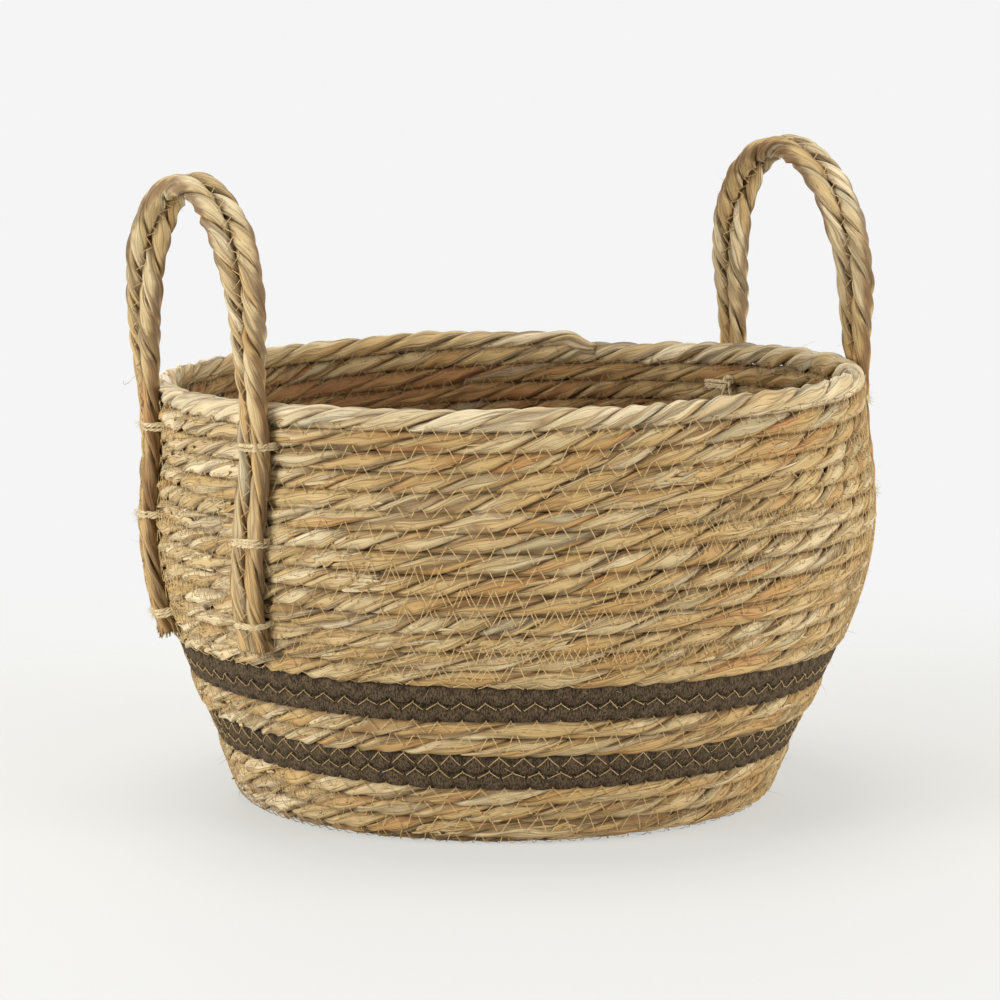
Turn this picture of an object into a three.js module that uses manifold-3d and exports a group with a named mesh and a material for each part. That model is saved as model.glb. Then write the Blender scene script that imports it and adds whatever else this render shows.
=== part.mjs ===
// A round plant basket of coiled rush rope, with two bands of brown cotton cord and two
// upright handles, each a pair of rush ropes tied to the outside of the wall with twine.
// Millimetres, +Z up. The origin lies on the floor, under the middle of the basket.
// The left handle stands on -X and the right handle on +X.

import * as THREE from 'three';
import * as BufferGeometryUtils from 'three/addons/utils/BufferGeometryUtils.js';
import Module from 'manifold-3d';

const wasm = await Module();
wasm.setup();

// The coiled rope
const ROW_PITCH = 9.6; // from one row to the next, along the wall
const ROW_CLEARANCE = 0.7; // between two rows that lie on each other
const END_CLEARANCE = 0.3; // between the end of one rope and the start of the next
const STANDING_FLAT = 0.96; // depth of the flat under the floor, a tenth of the rope
const EYE_RADIUS = 7; // where the rope starts, in the middle of the floor
const ROPE_END_ANGLE = 50; // where the rim ends, in degrees from +X
const ROPE_END_TAPER = 0.45; // how thick the rope still is at its end

// The rows, counted in turns down from the rim
const UPPER_RUSH_TURNS = 14;
const UPPER_CORD_TURNS = 2;
const MIDDLE_RUSH_TURNS = 2;
const LOWER_CORD_TURNS = 2;

// The outside of the wall
const FOOT_RADIUS = 139.5;
const FOOT_LEAN = 20; // how far the wall leans outward at the foot, in degrees
const FOOT_REACH = 50; // how far up the lean at the foot shapes the wall
const HEEL_BEND = 9; // radius of the bend from floor to wall, at the middle of the rope
const BELLY_RADIUS = 184;
const BELLY_HEIGHT = 146;
const BELLY_REACH = 49; // how far down the upright belly shapes the wall
const RIM_RADIUS = 180;
const NECK_HEIGHT = 195; // the wall stands straight from here to the rim
const NECK_REACH = 18; // how softly the wall draws in from belly to neck
const RIM_HEIGHT = 220.5; // top of the rim where the rope ends

// How far the handmade basket stands out of true
const HIGH_SIDE_ANGLE = -30; // where the rim stands highest, in degrees from +X
const RIM_TILT = 0.0335; // rise of the rim plane towards that side
const SWAY = 2.5; // how far the belly stands towards that side, and the foot away from it
const SWAY_HEIGHT = 60; // where the wall crosses from one to the other

// The handles
const HANDLE_ROPE = 9.5; // across the flats of one of the two ropes
const PAIR_CLEARANCE = 0.3; // between the two ropes of a handle
const SEAT_CLEARANCE = 0.3; // between a leg, or its twine, and what it lies on
const LEG_ANGLE = 18.5; // of each leg, in degrees from the middle of its handle
const FRONT_LEG_LENGTH = 119; // down the wall from the rim
const BACK_LEG_LENGTH = 125;
const HANDLE_RISE = 101.5; // middle of the arch above the rim's highest point
const ARCH_RISE = 70; // height of the round part of the arch
const LEFT_LEAN = 3.5; // how far the top of the left handle leans towards -X
const RIGHT_LEAN = 8.5; // and the top of the right handle
const HINGE_RISE = 5; // where a handle bends, above the rim beside it
const LEG_TURN = 16; // the stretch under the hinge in which a leg turns square to its handle
const HINGE_CLEARANCE = 0.3; // between the arch and the leg under it

// The twine ties
const TWINE = 2.5; // diameter
const HOLE_CLEARANCE = 0.35; // round the twine in the wall
const OUTER_TWINE_BEND = 4.5; // radius at the corners outside
const INNER_TWINE_BEND = 2; // radius at the corners inside
const KNOT = 6; // diameter
const LONG_TAIL = 14; // lengths of the two ends that hang from the knot
const SHORT_TAIL = 9;
const FRONT_TIE_SEAMS = [2, 7, 11]; // seams between rows that the ties go through,
const BACK_TIE_SEAMS = [2, 7, 12]; // counted down from the rim

// How finely round shapes are divided
const STEPS_PER_TURN = 18;
const ROPE_SIDES = 6;
const HANDLE_SIDES = 8;
const TWINE_SIDES = 5;
const LEG_STEPS = 9;
const LEG_TURN_STEPS = 4;
const ARCH_STEPS = 24;
const ARCH_END_ANGLES = [65, 32]; // of the rings on the round end of an arch, in degrees
const KNOT_SIDES = 6;
const KNOT_RINGS = 4;
const TWINE_BEND_ANGLES = [0, 45, 90]; // of the rings at each corner of a tie
const WALL_SAMPLES = 16; // over the width of a leg

const RUSH_COLOUR = 0xb59467;
const CORD_COLOUR = 0x4b3f33;
const TWINE_COLOUR = 0xcdb68e;

const radians = THREE.MathUtils.degToRad;
const STEP_ANGLE = 360 / STEPS_PER_TURN;
const HALF_STEP = radians(STEP_ANGLE / 2);

// A six-sided rope lies with two flats against its neighbours and a corner outward.
const ROPE_FLAT = (ROW_PITCH - ROW_CLEARANCE) / 2;
const ROPE_CORNER = ROPE_FLAT / Math.cos(Math.PI / ROPE_SIDES);
const FLOOR_LINE = ROPE_CORNER - STANDING_FLAT;

// A turn of straight steps has its corners a little outside the true circle.
const CORNER_SWELL = 2 / (1 + Math.cos(HALF_STEP));

// The wall's section at the middle of the rope, as radius and height
function sectionLine() {
  const point = (radius, height) => new THREE.Vector2(radius, height);
  const foot = FOOT_RADIUS - ROPE_CORNER;
  const belly = BELLY_RADIUS - ROPE_CORNER;
  const rim = RIM_RADIUS - ROPE_CORNER;
  const lean = radians(FOOT_LEAN);
  const bendCentre = point(foot - HEEL_BEND, FLOOR_LINE + HEEL_BEND);
  const bendEnd = point(Math.cos(lean), -Math.sin(lean)).multiplyScalar(HEEL_BEND).add(bendCentre);
  const footPull = point(Math.sin(lean), Math.cos(lean)).multiplyScalar(FOOT_REACH).add(bendEnd);

  const line = new THREE.CurvePath();
  line.add(new THREE.LineCurve(point(0, FLOOR_LINE), point(bendCentre.x, FLOOR_LINE)));
  line.add(new THREE.EllipseCurve(
    bendCentre.x, bendCentre.y, HEEL_BEND, HEEL_BEND, -Math.PI / 2, -lean,
  ));
  line.add(new THREE.CubicBezierCurve(
    bendEnd, footPull, point(belly, BELLY_HEIGHT - BELLY_REACH), point(belly, BELLY_HEIGHT),
  ));
  line.add(new THREE.CubicBezierCurve(
    point(belly, BELLY_HEIGHT), point(belly, BELLY_HEIGHT + NECK_REACH),
    point(rim, NECK_HEIGHT - NECK_REACH), point(rim, NECK_HEIGHT),
  ));
  line.add(new THREE.LineCurve(point(rim, NECK_HEIGHT), point(rim, RIM_HEIGHT)));
  return line;
}

const line = sectionLine();
const LINE_LENGTH = line.getLength();
const ROPE_END = LINE_LENGTH - ROPE_FLAT;

// The point at a length along the section line and a distance outward from it
function sectionPoint(along, outward) {
  const part = THREE.MathUtils.clamp(along / LINE_LENGTH, 0, 1);
  const point = line.getPoint(part);
  const tangent = line.getTangent(part);
  return new THREE.Vector2(point.x + outward * tangent.y, point.y - outward * tangent.x);
}

// Moves a point of the true basket to where it lies on the handmade one
function handmade(point) {
  const angle = radians(HIGH_SIDE_ANGLE);
  const across = new THREE.Vector2(Math.cos(angle), Math.sin(angle));
  const height = THREE.MathUtils.clamp(point.z, 0, RIM_HEIGHT);
  const swing = Math.PI * (height - SWAY_HEIGHT) / (RIM_HEIGHT - SWAY_HEIGHT);
  const lean = across.x * point.x + across.y * point.y;
  point.z += RIM_TILT * lean * (height / RIM_HEIGHT) ** 2;
  point.x += SWAY * Math.sin(swing) * across.x;
  point.y += SWAY * Math.sin(swing) * across.y;
  return point;
}

// Closed meshes from rings of points

function meshOf(points, faces) {
  const position = new Float32Array(points.flatMap((point) => handmade(point.clone()).toArray()));
  const geometry = new THREE.BufferGeometry();
  geometry.setAttribute('position', new THREE.BufferAttribute(position, 3));
  geometry.setIndex(faces.flat());
  return volumeOf(geometry) < 0 ? turnedInsideOut(geometry) : geometry;
}

function volumeOf(geometry) {
  const position = geometry.getAttribute('position');
  const index = geometry.getIndex();
  const corners = [new THREE.Vector3(), new THREE.Vector3(), new THREE.Vector3()];
  let volume = 0;
  for (let i = 0; i < index.count; i += 3) {
    corners.forEach((corner, k) => corner.fromBufferAttribute(position, index.getX(i + k)));
    volume += corners[0].dot(corners[1].clone().cross(corners[2])) / 6;
  }
  return volume;
}

function turnedInsideOut(geometry) {
  const index = Array.from(geometry.getIndex().array);
  geometry.setIndex(index.reverse());
  return geometry;
}

function sideFaces(ringCount, sides, closed) {
  const faces = [];
  const last = closed ? ringCount : ringCount - 1;
  for (let ring = 0; ring < last; ring += 1) {
    for (let side = 0; side < sides; side += 1) {
      const here = ring * sides;
      const there = ((ring + 1) % ringCount) * sides;
      const next = (side + 1) % sides;
      faces.push([here + side, there + side, there + next]);
      faces.push([here + side, there + next, here + next]);
    }
  }
  return faces;
}

function tube(rings) {
  const sides = rings[0].length;
  const faces = sideFaces(rings.length, sides, false);
  const start = (rings.length - 1) * sides;
  for (let side = 1; side < sides - 1; side += 1) {
    faces.push([0, side, side + 1]);
    faces.push([start, start + side + 1, start + side]);
  }
  return meshOf(rings.flat(), faces);
}

function closedTube(rings) {
  return meshOf(rings.flat(), sideFaces(rings.length, rings[0].length, true));
}

// Cutting and joining

function solidOf(geometry) {
  const bare = geometry.clone();
  bare.deleteAttribute('normal');
  bare.deleteAttribute('uv');
  const merged = BufferGeometryUtils.mergeVertices(bare);
  return new wasm.Manifold(new wasm.Mesh({
    numProp: 3,
    vertProperties: new Float32Array(merged.getAttribute('position').array),
    triVerts: new Uint32Array(merged.getIndex().array),
  }));
}

function geometryOf(solid) {
  const mesh = solid.getMesh();
  const geometry = new THREE.BufferGeometry();
  geometry.setAttribute('position', new THREE.BufferAttribute(mesh.vertProperties, 3));
  geometry.setIndex(new THREE.BufferAttribute(mesh.triVerts, 1));
  return geometry;
}

function cutFrom(geometry, tools) {
  const solid = tools.reduce((rest, tool) => rest.subtract(solidOf(tool)), solidOf(geometry));
  return geometryOf(solid);
}

function joined(geometries) {
  return geometryOf(geometries.map(solidOf).reduce((whole, more) => whole.add(more)));
}

// The rope's section as steps up along the wall and outward. The rope of the floor and the
// foot has its outer corner worn flat, as deep as the basket stands on it.
function ropeSection(worn) {
  const points = [];
  for (let side = worn ? 1 : 0; side < ROPE_SIDES; side += 1) {
    const turn = side * 2 * Math.PI / ROPE_SIDES;
    points.push([ROPE_CORNER * Math.sin(turn), ROPE_CORNER * Math.cos(turn)]);
  }
  if (worn) {
    const halfWidth = STANDING_FLAT * Math.tan(Math.PI / 2 - Math.PI / ROPE_SIDES);
    points.push([-halfWidth, ROPE_CORNER - STANDING_FLAT]);
    points.push([halfWidth, ROPE_CORNER - STANDING_FLAT]);
  }
  return points;
}

// The coiled rope: each step down from its end at the rim turns and drops it a little
function ropeRing(step, worn) {
  const along = ROPE_END - step * ROW_PITCH / STEPS_PER_TURN;
  const angle = radians(ROPE_END_ANGLE + step * STEP_ANGLE);
  const thickness = step < 1 ? ROPE_END_TAPER : 1;
  return ropeSection(worn).map(([up, outward]) => {
    const rise = (up + ROPE_FLAT) * thickness - ROPE_FLAT;
    const point = sectionPoint(along + rise, outward * thickness);
    const radius = point.x * CORNER_SWELL;
    return new THREE.Vector3(radius * Math.cos(angle), radius * Math.sin(angle), point.y);
  });
}

function ringBetween(step, part, worn) {
  const above = ropeRing(step, worn);
  const below = ropeRing(step + 1, worn);
  return above.map((point, side) => point.clone().lerp(below[side], part));
}

function ropeRings(first, last, worn) {
  const endPart = (step) => {
    const stepLength = ropeRing(step)[0].distanceTo(ropeRing(step + 1)[0]);
    return END_CLEARANCE / 2 / stepLength;
  };
  const rings = [ringBetween(first, endPart(first), worn)];
  for (let step = first + 1; step < last; step += 1) {
    rings.push(ropeRing(step, worn));
  }
  rings.push(ringBetween(last - 1, 1 - endPart(last - 1), worn));
  return rings;
}

// The least distance from a turn to the turn below it, on the corners and halfway between
function leastGap(first, last, worn) {
  let least = Infinity;
  for (let half = 2 * first; half < 2 * (last - STEPS_PER_TURN); half += 1) {
    const step = Math.floor(half / 2);
    const above = ringBetween(step, half % 2 / 2, worn);
    const below = ringBetween(step + STEPS_PER_TURN, half % 2 / 2, worn);
    const gaps = above.flatMap((point) => below.map((other) => point.distanceTo(other)));
    least = Math.min(least, ...gaps);
  }
  return least;
}

// A leg of a handle: where it stands, and the frame of the wall behind it

const PAIR_OFFSET = (HANDLE_ROPE + PAIR_CLEARANCE) / 2;
const PAIR_HALF_WIDTH = PAIR_OFFSET + HANDLE_ROPE / 2;
const HANDLE_CORNER = HANDLE_ROPE / 2 / Math.cos(Math.PI / HANDLE_SIDES);
const LEG_LINE = ROPE_CORNER + SEAT_CLEARANCE + HANDLE_ROPE / 2;

// How far the many-sided wall reaches towards an angle, over the width of a leg, for a
// radius of 1
function wallReach(angle, halfWidth) {
  const spread = Math.asin(halfWidth / RIM_RADIUS);
  const reaches = [];
  for (let sample = 0; sample <= WALL_SAMPLES; sample += 1) {
    const away = (2 * sample / WALL_SAMPLES - 1) * spread;
    const fromCorner = THREE.MathUtils.euclideanModulo(
      angle + away - radians(ROPE_END_ANGLE), 2 * HALF_STEP,
    );
    const radius = Math.cos(HALF_STEP) / Math.cos(fromCorner - HALF_STEP);
    reaches.push(radius * Math.cos(away));
  }
  return Math.max(...reaches) * CORNER_SWELL;
}

function legAt(side, end) {
  const angle = radians(side < 0 ? 180 + end * -LEG_ANGLE : end * LEG_ANGLE);
  const outward = new THREE.Vector3(Math.cos(angle), Math.sin(angle), 0);
  const toBack = new THREE.Vector3(-Math.sin(angle), Math.cos(angle), 0);
  if (toBack.y < 0) {
    toBack.negate();
  }
  const turnsToEnd = THREE.MathUtils.euclideanModulo(
    THREE.MathUtils.radToDeg(angle) - ROPE_END_ANGLE, 360,
  ) / 360;
  const topRow = ROPE_END - turnsToEnd * ROW_PITCH;
  const reach = wallReach(angle, PAIR_HALF_WIDTH);
  const length = end < 0 ? FRONT_LEG_LENGTH : BACK_LEG_LENGTH;
  const seams = end < 0 ? FRONT_TIE_SEAMS : BACK_TIE_SEAMS;
  return { end, outward, toBack, topRow, reach, length, seams };
}

// A point beside a leg: across it, along the wall's section line and out from that line
function onWall(leg, across, along, out) {
  const point = sectionPoint(along, out);
  return leg.outward.clone()
    .multiplyScalar(point.x * leg.reach)
    .addScaledVector(leg.toBack, across)
    .setZ(point.y);
}

function handleRing(centre, across, out, offset, size = 1) {
  const ring = [];
  for (let side = 0; side < HANDLE_SIDES; side += 1) {
    const turn = (side + 0.5) * 2 * Math.PI / HANDLE_SIDES;
    const point = centre.clone()
      .addScaledVector(across, offset + HANDLE_CORNER * size * Math.cos(turn))
      .addScaledVector(out, HANDLE_CORNER * size * Math.sin(turn));
    ring.push(point);
  }
  return ring;
}

// The line on which a handle bends, from the tops of its two legs
function hingeOf(side) {
  const legs = [legAt(side, -1), legAt(side, 1)];
  const turnRoom = PAIR_OFFSET * Math.sin(radians(LEG_ANGLE)) + HANDLE_CORNER - HANDLE_ROPE / 2;
  const tops = legs.map((leg) => onWall(leg, 0, leg.topRow + ROPE_FLAT, LEG_LINE + turnRoom));
  const height = Math.max(...tops.map((top) => top.z)) + HINGE_RISE;
  const distance = Math.max(...tops.map((top) => Math.abs(top.x)));
  const ends = tops.map((top) => new THREE.Vector3(side * distance, top.y, height));
  return { legs, ends };
}

// A leg lies on the wall, and turns under the hinge to stand square to its handle
function legRope(leg, hingePoint, offset) {
  const top = leg.topRow + ROPE_FLAT;
  const end = hingePoint.clone();
  end.z -= HANDLE_CORNER + HINGE_CLEARANCE;
  const squareAcross = new THREE.Vector3(0, 1, 0);
  const squareOut = new THREE.Vector3(Math.sign(hingePoint.x), 0, 0);
  const rings = [];
  for (let step = 0; step <= LEG_STEPS; step += 1) {
    const along = top - LEG_TURN - (leg.length - LEG_TURN) * (1 - step / LEG_STEPS);
    rings.push(handleRing(onWall(leg, 0, along, LEG_LINE), leg.toBack, leg.outward, offset));
  }
  const start = onWall(leg, 0, top - LEG_TURN, LEG_LINE);
  for (let step = 1; step <= LEG_TURN_STEPS; step += 1) {
    const part = step / LEG_TURN_STEPS;
    const across = leg.toBack.clone().lerp(squareAcross, part).normalize();
    const out = leg.outward.clone().lerp(squareOut, part).normalize();
    rings.push(handleRing(start.clone().lerp(end, part), across, out, offset));
  }
  return tube(rings);
}

// The arch of a handle: straight up from the hinge, then half an ellipse
function archCurve(hinge, lean) {
  const [front, back] = hinge.ends;
  const top = RIM_HEIGHT + HANDLE_RISE;
  const spring = top - ARCH_RISE;
  const middle = (front.y + back.y) / 2;
  const half = (back.y - front.y) / 2;
  const straight = spring - front.z;
  const roundLength = Math.PI * (half + ARCH_RISE) / 2;
  const length = 2 * straight + roundLength;

  return (part) => {
    const from = part * length;
    const point = new THREE.Vector3(front.x, 0, 0);
    if (from < straight) {
      point.setY(front.y).setZ(front.z + from);
    } else if (from > straight + roundLength) {
      point.setY(back.y).setZ(back.z + length - from);
    } else {
      const turn = Math.PI * (from - straight) / roundLength;
      point.setY(middle - half * Math.cos(turn)).setZ(spring + ARCH_RISE * Math.sin(turn));
    }
    point.x -= lean * (point.z - front.z) / (top - front.z);
    return point;
  };
}

// The two ropes lie side by side at the hinge and one behind the other at the top
function archRope(hinge, lean, offset) {
  const curve = archCurve(hinge, lean);
  const nearby = 1e-3;
  const rings = [];
  for (let step = 0; step <= ARCH_STEPS; step += 1) {
    const part = step / ARCH_STEPS;
    const tangent = curve(Math.min(1, part + nearby)).sub(curve(Math.max(0, part - nearby)));
    tangent.normalize();
    const turn = Math.PI / 2 * Math.sin(Math.PI * part) ** 2;
    const across = new THREE.Vector3(-Math.sin(turn), Math.cos(turn), 0);
    across.addScaledVector(tangent, -across.dot(tangent)).normalize();
    const out = tangent.clone().cross(across);
    rings.push(handleRing(curve(part), across, out, offset));
    if (step === 0) {
      rings.unshift(...domeRings(curve(0), tangent.clone().negate(), across, out, offset));
    }
    if (step === ARCH_STEPS) {
      rings.push(...domeRings(curve(1), tangent, across, out, offset).reverse());
    }
  }
  return tube(rings);
}

// The round end of an arch, from its tip to its full width
function domeRings(centre, away, across, out, offset) {
  return ARCH_END_ANGLES.map(radians).map((angle) => {
    const at = centre.clone().addScaledVector(away, HANDLE_CORNER * Math.sin(angle));
    return handleRing(at, across, out, offset, Math.cos(angle));
  });
}

// Twine: a loop round a leg and through the wall, with a knot and two tails inside

const HOLE_ACROSS = PAIR_HALF_WIDTH + SEAT_CLEARANCE + TWINE / 2;
const TWINE_OUTSIDE = LEG_LINE + HANDLE_ROPE / 2 + SEAT_CLEARANCE + TWINE / 2;
const TWINE_INSIDE = -(ROPE_CORNER + SEAT_CLEARANCE + TWINE / 2);

function seamAlong(leg, seam) {
  return leg.topRow - (seam - 0.5) * ROW_PITCH;
}

function twineLoop(leg, along) {
  const corners = [
    { x: 1, out: TWINE_OUTSIDE, bend: OUTER_TWINE_BEND, start: 0 },
    { x: -1, out: TWINE_OUTSIDE, bend: OUTER_TWINE_BEND, start: 90 },
    { x: -1, out: TWINE_INSIDE, bend: INNER_TWINE_BEND, start: 180 },
    { x: 1, out: TWINE_INSIDE, bend: INNER_TWINE_BEND, start: 270 },
  ];
  const rings = [];
  for (const corner of corners) {
    const centreAcross = corner.x * (HOLE_ACROSS - corner.bend);
    const centreOut = corner.out - Math.sign(corner.out) * corner.bend;
    for (const turn of TWINE_BEND_ANGLES) {
      const angle = radians(corner.start + turn);
      rings.push(twineRing(leg, along, angle, centreAcross, centreOut, corner.bend));
    }
  }
  return closedTube(rings);
}

function twineRing(leg, along, angle, centreAcross, centreOut, bend) {
  const ring = [];
  for (let side = 0; side < TWINE_SIDES; side += 1) {
    const turn = side * 2 * Math.PI / TWINE_SIDES;
    const reach = bend + TWINE / 2 * Math.cos(turn);
    const across = centreAcross + reach * Math.cos(angle);
    const out = centreOut + reach * Math.sin(angle);
    ring.push(onWall(leg, across, along + TWINE / 2 * Math.sin(turn), out));
  }
  return ring;
}

function knotOn(leg, along) {
  const out = TWINE_INSIDE + TWINE / 2 - KNOT / 2;
  const geometry = new THREE.SphereGeometry(KNOT / 2, KNOT_SIDES, KNOT_RINGS);
  const centre = onWall(leg, 0, along, out);
  return geometry.translate(...handmade(centre).toArray());
}

function tailOn(leg, along, length, spread) {
  const out = TWINE_INSIDE + TWINE / 2 - KNOT / 2;
  const rings = [0, 0.5, 1].map((part) => {
    const ring = [];
    for (let side = 0; side < TWINE_SIDES; side += 1) {
      const turn = side * 2 * Math.PI / TWINE_SIDES;
      const across = spread * part + TWINE / 2 * Math.cos(turn);
      const down = along - length * part;
      ring.push(onWall(leg, across, down, out + TWINE / 2 * Math.sin(turn)));
    }
    return ring;
  });
  return tube(rings);
}

function tieOn(leg, seam) {
  const along = seamAlong(leg, seam);
  return joined([
    twineLoop(leg, along),
    knotOn(leg, along),
    tailOn(leg, along, LONG_TAIL, -KNOT / 2),
    tailOn(leg, along, SHORT_TAIL, KNOT),
  ]);
}

// The two square holes of a tie, right through the wall
function holesFor(leg, seam) {
  const along = seamAlong(leg, seam);
  const half = TWINE / 2 + HOLE_CLEARANCE;
  const reach = ROPE_CORNER + TWINE;
  const corners = [[-half, -half], [half, -half], [half, half], [-half, half]];
  return [-HOLE_ACROSS, HOLE_ACROSS].map((middle) => tube([-reach, reach].map(
    (out) => corners.map(([across, up]) => onWall(leg, middle + across, along + up, out)),
  )));
}

// The whole basket

const basket = new THREE.Group();

function addPiece(name, geometry, colour, roughness) {
  const material = new THREE.MeshStandardMaterial({ color: colour, roughness, metalness: 0 });
  const mesh = new THREE.Mesh(geometry, material);
  mesh.geometry.computeVertexNormals();
  mesh.name = name;
  basket.add(mesh);
}

const sides = [
  { name: 'left', side: -1, lean: LEFT_LEAN },
  { name: 'right', side: 1, lean: RIGHT_LEAN },
];
const hinges = sides.map(({ side }) => hingeOf(side));
const allLegs = hinges.flatMap((hinge) => hinge.legs);
const holes = allLegs.flatMap((leg) => leg.seams.flatMap((seam) => holesFor(leg, seam)));

const STEPS_TO_UPPER_CORD = UPPER_RUSH_TURNS * STEPS_PER_TURN;
const STEPS_TO_MIDDLE_RUSH = STEPS_TO_UPPER_CORD + UPPER_CORD_TURNS * STEPS_PER_TURN;
const STEPS_TO_LOWER_CORD = STEPS_TO_MIDDLE_RUSH + MIDDLE_RUSH_TURNS * STEPS_PER_TURN;
const STEPS_TO_FOOT = STEPS_TO_LOWER_CORD + LOWER_CORD_TURNS * STEPS_PER_TURN;
const heelMiddle = FOOT_RADIUS - ROPE_CORNER - HEEL_BEND * (1 - Math.PI / 4);
const footTop = ROPE_END - STEPS_TO_FOOT * ROW_PITCH / STEPS_PER_TURN;
const footTurns = Math.max(1, Math.round((footTop - heelMiddle) / ROW_PITCH));
const STEPS_TO_BASE = STEPS_TO_FOOT + footTurns * STEPS_PER_TURN;
const STEPS_TO_EYE = Math.floor((ROPE_END - EYE_RADIUS) * STEPS_PER_TURN / ROW_PITCH);

const windings = [
  { name: 'base_coil', first: STEPS_TO_BASE, last: STEPS_TO_EYE, worn: true },
  { name: 'foot_rope', first: STEPS_TO_FOOT, last: STEPS_TO_BASE, worn: true },
  { name: 'lower_brown_cord', first: STEPS_TO_LOWER_CORD, last: STEPS_TO_FOOT },
  { name: 'middle_rush_rope', first: STEPS_TO_MIDDLE_RUSH, last: STEPS_TO_LOWER_CORD },
  { name: 'upper_brown_cord', first: STEPS_TO_UPPER_CORD, last: STEPS_TO_MIDDLE_RUSH },
  { name: 'upper_rush_rope', first: 0, last: STEPS_TO_UPPER_CORD },
];

for (const { name, first, last, worn } of windings) {
  const colour = name.endsWith('cord') ? CORD_COLOUR : RUSH_COLOUR;
  const rope = tube(ropeRings(first, last, worn));
  addPiece(name, worn ? rope : cutFrom(rope, holes), colour, 0.9);
  const gap = leastGap(first, last, worn).toFixed(2);
  console.log(`${name}: least gap between its turns ${gap} mm`);
}

const TIE_NAMES = ['top', 'middle', 'bottom'];

sides.forEach(({ name, lean }, index) => {
  const hinge = hinges[index];
  hinge.legs.forEach((leg, legIndex) => {
    const place = `${name}_${leg.end < 0 ? 'front' : 'back'}`;
    for (const offset of [-PAIR_OFFSET, PAIR_OFFSET]) {
      const inner = Math.sign(offset) !== leg.end;
      const rope = legRope(leg, hinge.ends[legIndex], offset);
      addPiece(`${place}_leg_${inner ? 'inner' : 'outer'}`, rope, RUSH_COLOUR, 0.85);
    }
    leg.seams.forEach((seam, k) => {
      addPiece(`${place}_tie_${TIE_NAMES[k]}`, tieOn(leg, seam), TWINE_COLOUR, 0.95);
    });
  });
  for (const offset of [-PAIR_OFFSET, PAIR_OFFSET]) {
    const place = offset < 0 ? 'right' : 'left';
    addPiece(`${name}_arch_${place}_rope`, archRope(hinge, lean, offset), RUSH_COLOUR, 0.85);
  }
});

for (const { ends } of hinges) {
  const [front, back] = ends.map((end) => handmade(end.clone()));
  console.log('hinge from', front.toArray(), 'to', back.toArray());
}

export default basket;
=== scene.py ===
"""The looks of a rush cachepot: two-strand rush rope coiled and sewn into a basket, two bands of
brown cotton cord, and two upright rope handles tied on with twine."""

import math

import bpy
import numpy as np
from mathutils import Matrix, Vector


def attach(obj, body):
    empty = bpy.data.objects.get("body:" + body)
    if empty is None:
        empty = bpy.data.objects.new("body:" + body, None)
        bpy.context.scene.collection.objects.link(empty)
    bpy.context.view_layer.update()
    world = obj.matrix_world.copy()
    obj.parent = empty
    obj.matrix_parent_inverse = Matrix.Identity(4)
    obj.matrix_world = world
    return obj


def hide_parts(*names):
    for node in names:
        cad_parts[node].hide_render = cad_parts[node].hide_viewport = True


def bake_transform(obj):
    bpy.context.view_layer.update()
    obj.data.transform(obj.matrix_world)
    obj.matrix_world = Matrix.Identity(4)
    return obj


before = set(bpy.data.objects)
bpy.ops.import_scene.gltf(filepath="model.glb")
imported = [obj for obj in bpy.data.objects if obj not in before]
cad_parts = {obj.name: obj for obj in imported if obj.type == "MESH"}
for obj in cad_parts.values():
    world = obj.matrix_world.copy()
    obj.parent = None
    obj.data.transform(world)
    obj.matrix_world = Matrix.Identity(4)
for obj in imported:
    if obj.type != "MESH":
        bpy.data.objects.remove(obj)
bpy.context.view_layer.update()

# Sizes and places are in millimetres. The meshes are in metres.
MM = 0.001

# The coiled rope
ROW_PITCH = 9.6
ROW_CLEARANCE = 0.7
STANDING_FLAT = 0.96
EYE_RADIUS = 7.0
ROPE_END_ANGLE = 50.0
ROPE_END_SIZE = 0.55
ROPE_END_TUCK = 19.0
ROPE_END_BEYOND = 19.0
ROPE_END_DROPS = 0.75
ROPE_END_SINKS = 4.5
ROPE_END_SLIMS = 110.0
ROPE_END_SLIMNESS = 0.24
EYE_TURNS = 0.8
EYE_SIZE = 0.62
EYE_CLOSES = 0.72
EYE_LIFTS = 1.5
EYE_UNSEWN = 0.6
JOIN_LENGTH = 9.0
JOIN_SINKS = 2.2
JOIN_THINS = 0.4
ROPE_SIDES = 6

# The least height over the floor that each kind of piece keeps
LOWEST_LEAF = 0.15
LOWEST_FIBRE = 0.2
LOWEST_THREAD = 0.3

# Where one rope gives way to the next, in turns down from the rim
UPPER_CORD_TURN = 14
MIDDLE_RUSH_TURN = 16
LOWER_CORD_TURN = 18
FOOT_TURN = 20
BASE_TURN = 23

# The wall's section
FOOT_RADIUS = 139.5
FOOT_LEAN = 20.0
FOOT_REACH = 50.0
HEEL_BEND = 9.0
BELLY_RADIUS = 184.0
BELLY_HEIGHT = 146.0
BELLY_REACH = 49.0
RIM_RADIUS = 180.0
NECK_HEIGHT = 195.0
NECK_REACH = 18.0
RIM_HEIGHT = 220.5
HIGH_SIDE_ANGLE = -30.0
RIM_TILT = 0.0335
SWAY = 2.5
SWAY_HEIGHT = 60.0
SECTION_STEP = 0.25
TABLE_LENGTH = 40001

# How the rows wander along the wall: how far, waves round the basket, reach along it and start
ROW_WAVES = ((0.55, 0, 11.0, 0.8), (0.40, 2, 17.0, 0.0), (0.30, 5, -9.0, 2.0), (0.22, 11, 6.0, 4.0))
EVEN_MIDDLE = 60.0

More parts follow.
